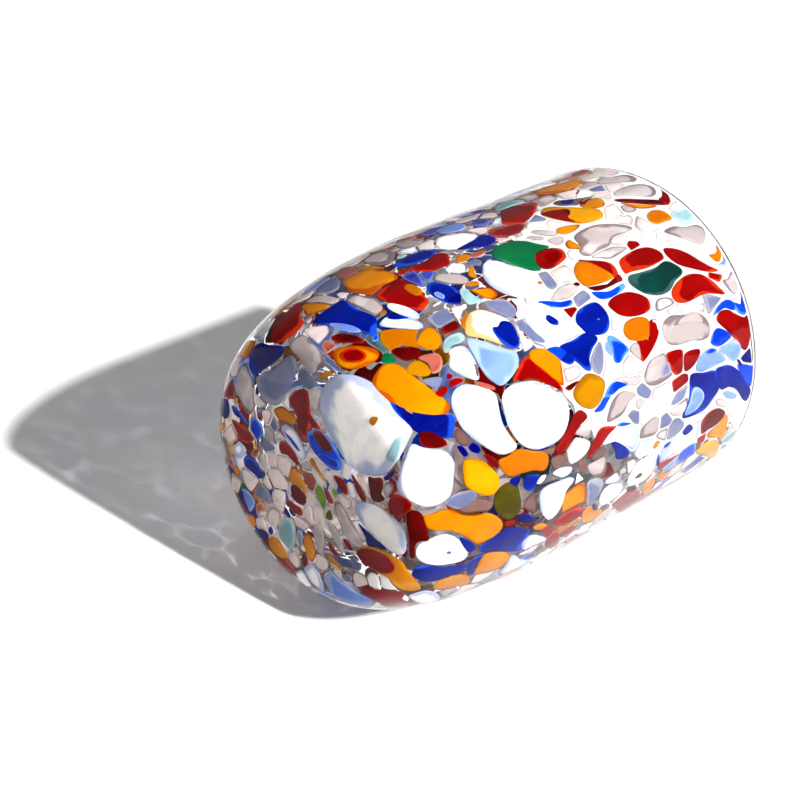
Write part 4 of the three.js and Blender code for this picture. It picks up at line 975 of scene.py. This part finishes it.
def chip_mesh(name, place, offsets, depth, thickness, shape, shade):
    """Closed lens-shaped chips under the glass: a grid of ring by spoke laid on the outside and
    moved in by the depth, with one vertex in the middle of each face. From face to face a ring's
    share of the outline is the square root of sin t, and its level, from 0 to 1, a rounded cos t."""
    t = np.linspace(0, math.pi, EDGE_STEPS)[1:-1]
    share = np.sin(t) ** 0.5
    level = (1 - np.sign(np.cos(t)) * np.abs(np.cos(t)) ** 0.7) / 2
    flat = place[:, None, None, :] + share[None, :, None, None] * offsets[:, None, :, :]
    surface, normal = on_glass(flat, shape)
    size = np.linalg.norm(offsets, axis=-1).mean(-1)
    thick = thickness * np.clip(size / FULL_SIZE, THINNEST, 1.0)
    sunk = depth[:, None, None] + thick[:, None, None] * level[None, :, None]
    middle, out = on_glass(place, shape)
    poles = np.stack([middle - out * depth[:, None], middle - out * (depth + thick)[:, None]], 1)
    count, in_rings = len(place), len(share) * SPOKES
    rings = (surface - normal * sunk[..., None]).reshape(count, in_rings, 3)
    points = np.concatenate([rings, poles], 1).reshape(-1, 3)
    first = (np.arange(count) * (in_rings + 2))[:, None, None]
    one_chip = [turned_over(faces) for faces in ring_faces(len(share), SPOKES)]
    face_sets = [(faces[None] + first).reshape(-1, faces.shape[1]) for faces in one_chip]
    around = full_turn(SPOKES)
    uv = np.stack([share[:, None] * np.cos(around), share[:, None] * np.sin(around)], -1).reshape(-1, 2)
    uv = np.concatenate([uv, np.zeros((2, 2))]) * 0.5 + 0.5
    return make_mesh(name, points, face_sets, np.tile(uv, (count, 1)), np.repeat(shade, in_rings + 2))


def add_piece(mesh, slot, material, *nodes):
    """Links a mesh as a piece of the tumbler, with its material and its place in the frame."""
    piece = bpy.data.objects.new(mesh.name, mesh)
    bpy.context.scene.collection.objects.link(piece)
    mesh.materials.append(material)
    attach(piece, "root")
    if nodes:
        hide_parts(*nodes)


def large_chip_nodes():
    """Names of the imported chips, with their colours."""
    names = sorted(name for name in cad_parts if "_chip_" in name)
    return [(name, name.rsplit("_chip_", 1)[0]) for name in names]


def drawn_chips(shape, settings):
    """All chips with a shape of their own, one after the other: colours, middles, outline offsets
    and depths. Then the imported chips' names, and which drawn chip stands for each, the nearest of
    its colour, or none."""
    layers = (
        (SIDE_CHIPS, side_points, settings.depth),
        (FOOT_CHIPS, foot_points, settings.depth),
        (SIDE_SPOTS, side_points, settings.spot_depth),
        (FOOT_SPOTS, foot_points, settings.spot_depth),
    )
    parts = [listed_chips(table, points_of, shape) for table, points_of, _ in layers]
    colours = np.array([colour for part in parts for colour in part[0]])
    places, offsets = (np.concatenate([part[i] for part in parts]) for i in (1, 2))
    depths = np.concatenate([np.full(len(part[0]), layer[2]) for part, layer in zip(parts, layers)])
    stands = {}
    for name, colour in large_chip_nodes():
        low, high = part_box(name)
        far = np.linalg.norm(places - np.array((low + high) / 2), axis=1)
        far[(colours != colour) | np.isin(np.arange(len(far)), list(stands.values()))] = 1
        stands[name] = int(far.argmin()) if far.min() < SAME_CHIP else None
    return colours, places, offsets, depths, stands


def placed_outlines(shape, settings):
    """Middles of every chip that isn't scattered, and their outlines on the outside."""
    _, places, offsets, _, stands = drawn_chips(shape, settings)
    left = [node_outline(name, shape) for name, drawn in stands.items() if drawn is None]
    places = np.concatenate([places, *(place for place, _ in left)])
    offsets = np.concatenate([offsets, *(offset for _, offset in left)])
    outlines, _ = on_glass(places[:, None] + offsets, shape)
    return places, outlines


def spread_points(count, shape):
    """Points spread evenly over the outside by area: equal steps of area along the profile, each
    turned on by the golden angle."""
    radius, height, _ = outside_curve(shape)
    top = np.linspace(shape.taper_height, HEIGHT - RIM_MARGIN, TAPER_STEPS // 2)[1:]
    r = np.concatenate([radius, RADIUS + 0 * top])
    h = np.concatenate([height, top])
    area = np.concatenate([[0], np.cumsum(np.hypot(np.diff(r), np.diff(h)) * (r[1:] + r[:-1]))])
    share = (np.arange(count) + 0.5) / count * area[-1]
    turn = np.arange(count) * math.pi * (3 - math.sqrt(5))
    return around_axis(np.interp(share, area, r), np.interp(share, area, h), turn)


def free_distance(points, places, outlines):
    """Distance from each point to the nearest chip outline, negative inside a chip."""
    free = np.full(len(points), 1.0)
    for middle, edge in zip(places, outlines):
        offset = edge - middle
        reach = np.linalg.norm(offset, axis=1)
        v = points - middle
        near = np.linalg.norm(v, axis=1) < reach.max() + CHIP_SEARCH
        if not near.any():
            continue
        v = v[near]
        spoke = (v @ (offset / reach[:, None]).T).argmax(1)
        inside = np.linalg.norm(v, axis=1) < reach[spoke]
        gap = np.linalg.norm(points[near][:, None] - edge[None], axis=2).min(1)
        free[near] = np.minimum(free[near], np.where(inside, -gap, gap))
    return free


def chosen_places(points, free, most, luck):
    """Which points take a scattered chip, and the chips' sizes. Each new one goes where the free
    distance, no more than the point's most and weighed by its luck, is largest, and takes it."""
    chosen, sizes = [], []
    while len(chosen) < MOST_CHIPS:
        i = int((np.minimum(free, most) * luck).argmax())
        if free[i] < LEAST_SIZE:
            break
        size = min(free[i], most[i])
        chosen.append(i)
        sizes.append(size)
        gap = np.linalg.norm(points - points[i], axis=1) - size
        free = np.minimum(free, np.where(gap < most * CROWDING, -1.0, gap))
    return chosen, np.array(sizes)


def scatter_cells(shape, settings):
    """Scattered chips. Each grows to the lines half-way to its neighbours, with rounded corners.
    All distances are measured with the axis shortened by the stretch. Gives their middles, outline
    offsets and zones, 0 on the closed end, 1 between drawn chips and 2 on the bare side."""
    rng = np.random.default_rng(settings.seed + 1)
    squeeze = np.array([1 / settings.stretch, 1, 1])
    places, outlines = placed_outlines(shape, settings)
    outlines = outlines * squeeze
    points = spread_points(TRIAL_PLACES, shape)
    y, z = points[:, 1] - AXIS_Y, points[:, 2] - AXIS_Z
    on_foot = np.hypot(y, z) < shape.foot_radius + ROUND_FOOT
    bare_side = (np.abs(np.degrees(np.arctan2(-y, z)) - DRAWN_MIDDLE) > DRAWN_HALF) & ~on_foot
    bare, drawn = (rng.uniform(*sizes, len(points)) for sizes in (BARE_SIZES, DRAWN_SIZES))
    luck = rng.uniform(*LUCK, len(points))
    free = free_distance(points * squeeze, places * squeeze, outlines)
    chosen, sizes = chosen_places(points * squeeze, free, np.where(bare_side, bare, drawn) * MM, luck)
    middles = points[chosen] * squeeze
    _, along, across = frames_at(points[chosen], np.tile(NEAR_AXIS, (len(chosen), 1)), shape)
    spokes = spoke_directions(along, across)
    rows = np.arange(len(outlines))
    cells = []
    for i, middle in enumerate(middles):
        v = middles - middle
        d = np.linalg.norm(v, axis=1)
        near = (d < CELL_SEARCH) & (d > 0)
        v, d = v[near], d[near]
        half_way = (d**2 + sizes[i] ** 2 - sizes[near] ** 2) / (2 * d) - settings.gap / 2
        w = outlines - middle
        edge = np.linalg.norm(w, axis=2).argmin(1)
        w = w[rows, edge]
        e = np.linalg.norm(w, axis=1)
        w, e = w[e < OUTLINE_SEARCH], e[e < OUTLINE_SEARCH]
        walls = np.concatenate([v / d[:, None], w / e[:, None]])
        half_way = np.maximum(half_way, CELL_LEAST * sizes[i])
        beside = np.maximum(e - settings.gap, OUTLINE_LEAST * sizes[i])
        angle = np.arctan2(walls @ across[i], walls @ along[i])
        reach = straight_edge_spokes(angle, np.concatenate([half_way, beside]), CELL_ROUNDING)
        reach = np.minimum(reach, CELL_MOST * sizes[i])
        cells.append(reach[:, None] * spokes[i] / squeeze)
    zone = np.where(on_foot, 0, np.where(bare_side, 2, 1))
    return points[chosen], np.array(cells), zone[chosen], rng


# --- Materials ---------------------------------------------------------------------------------


def new_group(name, *sockets):
    """An empty node group with the sockets given by name, kind and first value. One without a
    first value is put out."""
    group = bpy.data.node_groups.new(name, "ShaderNodeTree")
    for title, kind, *first in sockets:
        direction = "INPUT" if first else "OUTPUT"
        made = group.interface.new_socket(name=title, in_out=direction, socket_type=f"NodeSocket{kind}")
        if first:
            made.default_value = first[0]
    return group, group.nodes.new("NodeGroupInput").outputs, group.nodes.new("NodeGroupOutput").inputs


def add_node(tree, kind, inputs, **settings):
    """A shader node with its settings. An input is given a value, or the socket it is joined to."""
    node = tree.nodes.new(f"ShaderNode{kind}")
    for name, value in settings.items():
        setattr(node, name, value)
    for name, value in inputs.items():
        if isinstance(value, bpy.types.NodeSocket):
            tree.links.new(value, node.inputs[name])
        else:
            node.inputs[name].default_value = value
    return node


def chip_tone_group():
    """Colour over a chip: streaks through the body, then the edge colour where the distance from
    the middle, shaken a little by noise, passes the edge start. The chip's own shade scales it."""
    group, given, out = new_group(
        "Chip Tone",
        ("Body", "Color", (1, 1, 1, 1)),
        ("Edge", "Color", (1, 1, 1, 1)),
        ("Streak", "Color", (1, 1, 1, 1)),
        ("Edge Start", "Float", 0.8),
        ("Color", "Color"),
    )
    uv = add_node(group, "UVMap", {}, uv_map="ChipPlace").outputs[0]
    place = add_node(group, "TexCoord", {}).outputs["Object"]
    away = add_node(group, "VectorMath", {0: uv, 1: (0.5, 0.5, 0.0)}, operation="DISTANCE")
    parts = {0: away.outputs["Value"], 1: 2.0, 2: -SHAKE_MEAN}
    away = add_node(group, "Math", parts, operation="MULTIPLY_ADD")
    noise = add_node(group, "TexNoise", {"Vector": place, "Scale": 110, "Detail": 2})
    parts = {0: noise.outputs[0], 1: EDGE_SHAKE, 2: away.outputs[0]}
    shaken = add_node(group, "Math", parts, operation="MULTIPLY_ADD")
    parts = {"Value": shaken.outputs[0], "From Min": given["Edge Start"], "From Max": 1.0}
    mask = add_node(group, "MapRange", parts, interpolation_type="SMOOTHSTEP")
    stretch = add_node(group, "Mapping", {"Vector": place, "Scale": (55, 190, 190)})
    parts = {"Vector": stretch.outputs[0], "Scale": 1.0, "Detail": 4, "Distortion": 0.8}
    streaks = add_node(group, "TexNoise", parts)
    parts = {"Value": streaks.outputs[0], "From Min": 0.42, "From Max": 0.68}
    amount = add_node(group, "MapRange", parts, interpolation_type="SMOOTHSTEP")
    parts = {"Factor": amount.outputs[0], "A": given["Body"], "B": given["Streak"]}
    body = add_node(group, "Mix", parts, data_type="RGBA")
    parts = {"Factor": mask.outputs[0], "A": body.outputs["Result"], "B": given["Edge"]}
    edged = add_node(group, "Mix", parts, data_type="RGBA")
    own = add_node(group, "Attribute", {}, attribute_name="chip_shade")
    parts = {0: edged.outputs["Result"], "Scale": own.outputs["Fac"]}
    shaded = add_node(group, "VectorMath", parts, operation="SCALE")
    group.links.new(shaded.outputs[0], out["Color"])
    return group


def glass_ripple_group():
    """Height of the glass skin: broad soft lumps over the chips and fine drawn-out cords."""
    scales = ("Lump Scale", "Float", 120.0), ("Cord Scale", "Float", 60.0)
    group, given, out = new_group("Glass Ripple", *scales, ("Height", "Float"))
    place = add_node(group, "TexCoord", {}).outputs["Object"]
    lumps = add_node(group, "TexNoise", {"Vector": place, "Scale": given["Lump Scale"], "Detail": 1})
    squash = add_node(group, "Mapping", {"Vector": place, "Scale": (0.5, 3, 3)}).outputs[0]
    cords = add_node(group, "TexNoise", {"Vector": squash, "Scale": given["Cord Scale"], "Detail": 2})
    parts = {0: cords.outputs[0], 1: 0.3, 2: lumps.outputs[0]}
    both = add_node(group, "Math", parts, operation="MULTIPLY_ADD")
    group.links.new(both.outputs[0], out["Height"])
    return group


def new_material(name):
    """An empty material and its node tree."""
    material = bpy.data.materials.new(name)
    material.use_nodes = True
    material.node_tree.nodes.clear()
    return material, material.node_tree


def let_light_through(tree, shader, colour):
    """Finishes a material with the shader, but passes the lamps' light in the given colour."""
    through = add_node(tree, "BsdfTransparent", {"Color": (*colour, 1)})
    path = add_node(tree, "LightPath", {})
    parts = {0: path.outputs["Is Shadow Ray"], 1: shader.outputs[0], 2: through.outputs[0]}
    mix = add_node(tree, "MixShader", parts)
    add_node(tree, "OutputMaterial", {"Surface": mix.outputs[0]})


def chip_material(colour):
    """Coloured glass of a chip, seen through the clear glass over it. It lets part of the lamps'
    light through in its own colour, the square root at each of its two faces."""
    name = f"{colour}_glass"
    if name in bpy.data.materials:
        return bpy.data.materials[name]
    body, edge, streak, start, alpha = GLASSES[colour]
    material, tree = new_material(name)
    group = tree.nodes.new("ShaderNodeGroup")
    group.node_tree = bpy.data.node_groups.get("Chip Tone") or chip_tone_group()
    for socket, shade in (("Body", body), ("Edge", edge), ("Streak", streak)):
        group.inputs[socket].default_value = (*shade, 1)
    group.inputs["Edge Start"].default_value = start
    looks = {"Base Color": group.outputs[0], "Roughness": 0.3, "Specular IOR Level": 0.0, "Alpha": alpha}
    shader = add_node(tree, "BsdfPrincipled", looks)
    let_light_through(tree, shader, [math.sqrt(PASSED * value) for value in body])
    return material


def clear_glass_material():
    """Clear glass with a rippled skin, which lets the lamps' light through to the chips."""
    material, tree = new_material("clear_glass")
    ripple = tree.nodes.new("ShaderNodeGroup")
    ripple.node_tree = glass_ripple_group()
    bump = add_node(tree, "Bump", {"Height": ripple.outputs[0], "Distance": 0.4 * MM, "Strength": 0.9})
    looks = {
        "Base Color": (0.985, 0.992, 0.99, 1),
        "Roughness": 0.0,
        "IOR": 1.5,
        "Specular Tint": (0.02, 0.02, 0.02, 1),
        "Transmission Weight": 1.0,
        "Normal": bump.outputs[0],
    }
    let_light_through(tree, add_node(tree, "BsdfPrincipled", looks), GLASS_PASSED)
    return material


def floor_material():
    """Plain pale floor."""
    material, tree = new_material("pale_floor")
    looks = {"Base Color": (0.93, 0.93, 0.93, 1), "Roughness": 0.8, "Specular IOR Level": 0.2}
    shader = add_node(tree, "BsdfPrincipled", looks)
    add_node(tree, "OutputMaterial", {"Surface": shader.outputs[0]})
    return material


# --- Operators ---------------------------------------------------------------------------------


class TUMBLER_OT_clear_body(bpy.types.Operator):
    """Make the clear glass of the tumbler"""

    bl_idname = "tumbler.clear_body"
    bl_label = "Clear Body"

    def execute(self, context):
        shape = context.scene.tumbler_shape
        mesh = revolved_mesh("clear_glass_shell", *glass_profile(shape), shape.waviness)
        add_piece(mesh, "clear_glass", clear_glass_material(), BODY_NODE)
        return {"FINISHED"}


class TUMBLER_OT_large_chips(bpy.types.Operator):
    """Make a smooth chip for each packed chip"""

    bl_idname = "tumbler.large_chips"
    bl_label = "Large Chips"

    def execute(self, context):
        shape, settings = context.scene.tumbler_shape, context.scene.tumbler_chips
        rng = np.random.default_rng(settings.seed + 2)
        _, places, offsets, depths, stands = drawn_chips(shape, settings)
        thickness = settings.thickness * LARGE_THICKNESS
        for name, colour in large_chip_nodes():
            drawn = stands[name]
            if drawn is None:
                place, offset = node_outline(name, shape)
                depth = settings.depth
            else:
                place, offset = places[[drawn]], offsets[[drawn]]
                depth = depths[drawn]
            depth = depth - rng.uniform(*LARGE_LIFT, 1) * MM
            shade = rng.uniform(*LARGE_SHADES, 1)
            mesh = chip_mesh(f"{name}_fused", place, offset, depth, thickness, shape, shade)
            add_piece(mesh, colour, chip_material(colour), name)
        return {"FINISHED"}


def add_joined(prefix, colours, places, offsets, depth, thickness, shape, rng):
    """One piece for each colour, of all the chips that have it."""
    shades = rng.uniform(*SHADES, len(colours))
    for colour in sorted(set(colours)):
        mine = colours == colour
        chips = places[mine], offsets[mine], depth[mine]
        mesh = chip_mesh(f"{prefix}_{colour}_chips", *chips, thickness, shape, shades[mine])
        add_piece(mesh, SLOT_OF.get(colour, colour), chip_material(colour))


class TUMBLER_OT_small_chips(bpy.types.Operator):
    """Make the other chips that have a shape of their own, and those that lie on others"""

    bl_idname = "tumbler.small_chips"
    bl_label = "Small Chips"

    def execute(self, context):
        shape, settings = context.scene.tumbler_shape, context.scene.tumbler_chips
        rng = np.random.default_rng(settings.seed)
        colours, places, offsets, depths, stands = drawn_chips(shape, settings)
        taken = [drawn for drawn in stands.values() if drawn is not None]
        other = ~np.isin(np.arange(len(colours)), taken)
        for prefix, on_top, share in (("small", False, 1.0), ("spot", True, SPOT_THICKNESS)):
            mine = other & ((depths == settings.spot_depth) == on_top)
            sunk = rng.uniform(*SMALL_SINK, mine.sum()) * MM
            depth = depths[mine] + (0 if on_top else sunk)
            chips = colours[mine], places[mine], offsets[mine], depth
            add_joined(prefix, *chips, settings.thickness * share, shape, rng)
        return {"FINISHED"}


def drawn_colours(mix, count, rng):
    """Random colours, each as often as the mix says."""
    weights = np.array(list(mix.values()), float)
    return rng.choice(list(mix), count, p=weights / weights.sum())


class TUMBLER_OT_scattered_chips(bpy.types.Operator):
    """Fill the free glass with scattered chips"""

    bl_idname = "tumbler.scattered_chips"
    bl_label = "Scattered Chips"

    def execute(self, context):
        shape, settings = context.scene.tumbler_shape, context.scene.tumbler_chips
        places, offsets, zone, rng = scatter_cells(shape, settings)
        count = len(places)
        # Where pale chips are many, between drawn chips on the lit side, they are partly painted light:
        # their pale colour whitens the gaps as light shining through clear glass would.
        is_pale = rng.uniform(0, 1, count) < np.array(PALE_SHARES)[zone]
        pale, bright = (drawn_colours(mix, count, rng) for mix in (PALE_MIX, SCATTER_MIX))
        colours = np.where(is_pale, pale, bright)
        depth = settings.depth + rng.uniform(*SCATTERED_SINK, count) * MM
        add_joined("scattered", colours, places, offsets, depth, settings.thickness, shape, rng)
        return {"FINISHED"}


def camera_axes(studio):
    """The camera's right, up and back directions."""
    a, e = studio.azimuth, studio.elevation
    right = Vector((math.cos(a), math.sin(a), 0))
    back = Vector((math.sin(a) * math.cos(e), -math.cos(a) * math.cos(e), math.sin(e)))
    return right, back.cross(right), back


def add_facing(name, data, place, back):
    """Links a lamp or camera that looks against the back direction."""
    made = bpy.data.objects.new(name, data)
    made.location = place
    made.rotation_mode = "QUATERNION"
    made.rotation_quaternion = back.to_track_quat("Z", "Y")
    bpy.context.scene.collection.objects.link(made)
    return made


def add_lamp(name, kind, size, power, middle, towards, distance):
    """A flat lamp that faces the tumbler from the given direction and distance."""
    light = bpy.data.lights.new(name, "AREA")
    light.shape = kind
    light.size = size
    light.energy = power
    towards = towards.normalized()
    add_facing(name, light, middle + towards * distance, towards)


class TUMBLER_OT_studio(bpy.types.Operator):
    """Make the floor, the camera and the lights"""

    bl_idname = "tumbler.studio"
    bl_label = "Studio"

    def execute(self, context):
        scene, studio = context.scene, context.scene.tumbler_studio
        middle = Vector((FOOT_X + HEIGHT / 2, AXIS_Y, AXIS_Z))
        corners = np.array([[-1, -1], [1, -1], [1, 1], [-1, 1]]) * FLOOR_HALF
        points = np.column_stack([corners, np.full(4, -FLOOR_DROP)])
        mesh = make_mesh("pale_floor", points, [np.arange(4)[None]])
        mesh.materials.append(floor_material())
        floor = bpy.data.objects.new("pale_floor", mesh)
        scene.collection.objects.link(floor)

        right, up, back = camera_axes(studio)
        lens = bpy.data.cameras.new("camera")
        lens.lens = studio.lens
        lens.sensor_width = 36
        lens.clip_start = 0.01
        place = middle - right * studio.aim_left - up * studio.aim_low + back * studio.distance
        scene.camera = add_facing("camera", lens, place, back)

        key = middle, KEY_TOWARDS, KEY_DISTANCE
        add_lamp("key_light", "DISK", studio.key_size, studio.key_power, *key)
        fill = middle, FILL_TOWARDS, FILL_DISTANCE
        add_lamp("fill_light", "SQUARE", FILL_SIZE, studio.fill_power, *fill)

        world = bpy.data.worlds.new("room")
        world.use_nodes = True
        light = world.node_tree.nodes["Background"]
        light.inputs["Color"].default_value = ROOM_COLOUR
        light.inputs["Strength"].default_value = studio.sky_strength
        scene.world = world
        scene.view_settings.view_transform = "Standard"
        scene.view_settings.look = "Medium High Contrast"
        return {"FINISHED"}


class TUMBLER_PT_panel(bpy.types.Panel):
    """Lists the steps and the sizes"""

    bl_label = "Chipped Tumbler"
    bl_idname = "TUMBLER_PT_panel"
    bl_space_type = "VIEW_3D"
    bl_region_type = "UI"
    bl_category = "Tumbler"

    def draw(self, context):
        layout, scene = self.layout, context.scene
        for operator in OPERATORS:
            layout.operator(operator.bl_idname)
        for group in (scene.tumbler_shape, scene.tumbler_chips, scene.tumbler_studio):
            box = layout.box()
            for name in group.bl_rna.properties.keys():
                if name not in ("rna_type", "name"):
                    box.prop(group, name)


OPERATORS = (
    TUMBLER_OT_clear_body,
    TUMBLER_OT_large_chips,
    TUMBLER_OT_small_chips,
    TUMBLER_OT_scattered_chips,
    TUMBLER_OT_studio,
)
GROUPS = (
    ("tumbler_shape", TumblerShape),
    ("tumbler_chips", ChipSettings),
    ("tumbler_studio", StudioSettings),
)


def register():
    for name, group in GROUPS:
        bpy.utils.register_class(group)
        setattr(bpy.types.Scene, name, bpy.props.PointerProperty(type=group))
    for operator in (*OPERATORS, TUMBLER_PT_panel):
        bpy.utils.register_class(operator)


def unregister():
    for operator in (TUMBLER_PT_panel, *reversed(OPERATORS)):
        bpy.utils.unregister_class(operator)
    for name, group in reversed(GROUPS):
        delattr(bpy.types.Scene, name)
        bpy.utils.unregister_class(group)


def main():
    register()
    bpy.ops.tumbler.clear_body()
    bpy.ops.tumbler.large_chips()
    bpy.ops.tumbler.small_chips()
    bpy.ops.tumbler.scattered_chips()
    bpy.ops.tumbler.studio()


if __name__ == "__main__":
    main()
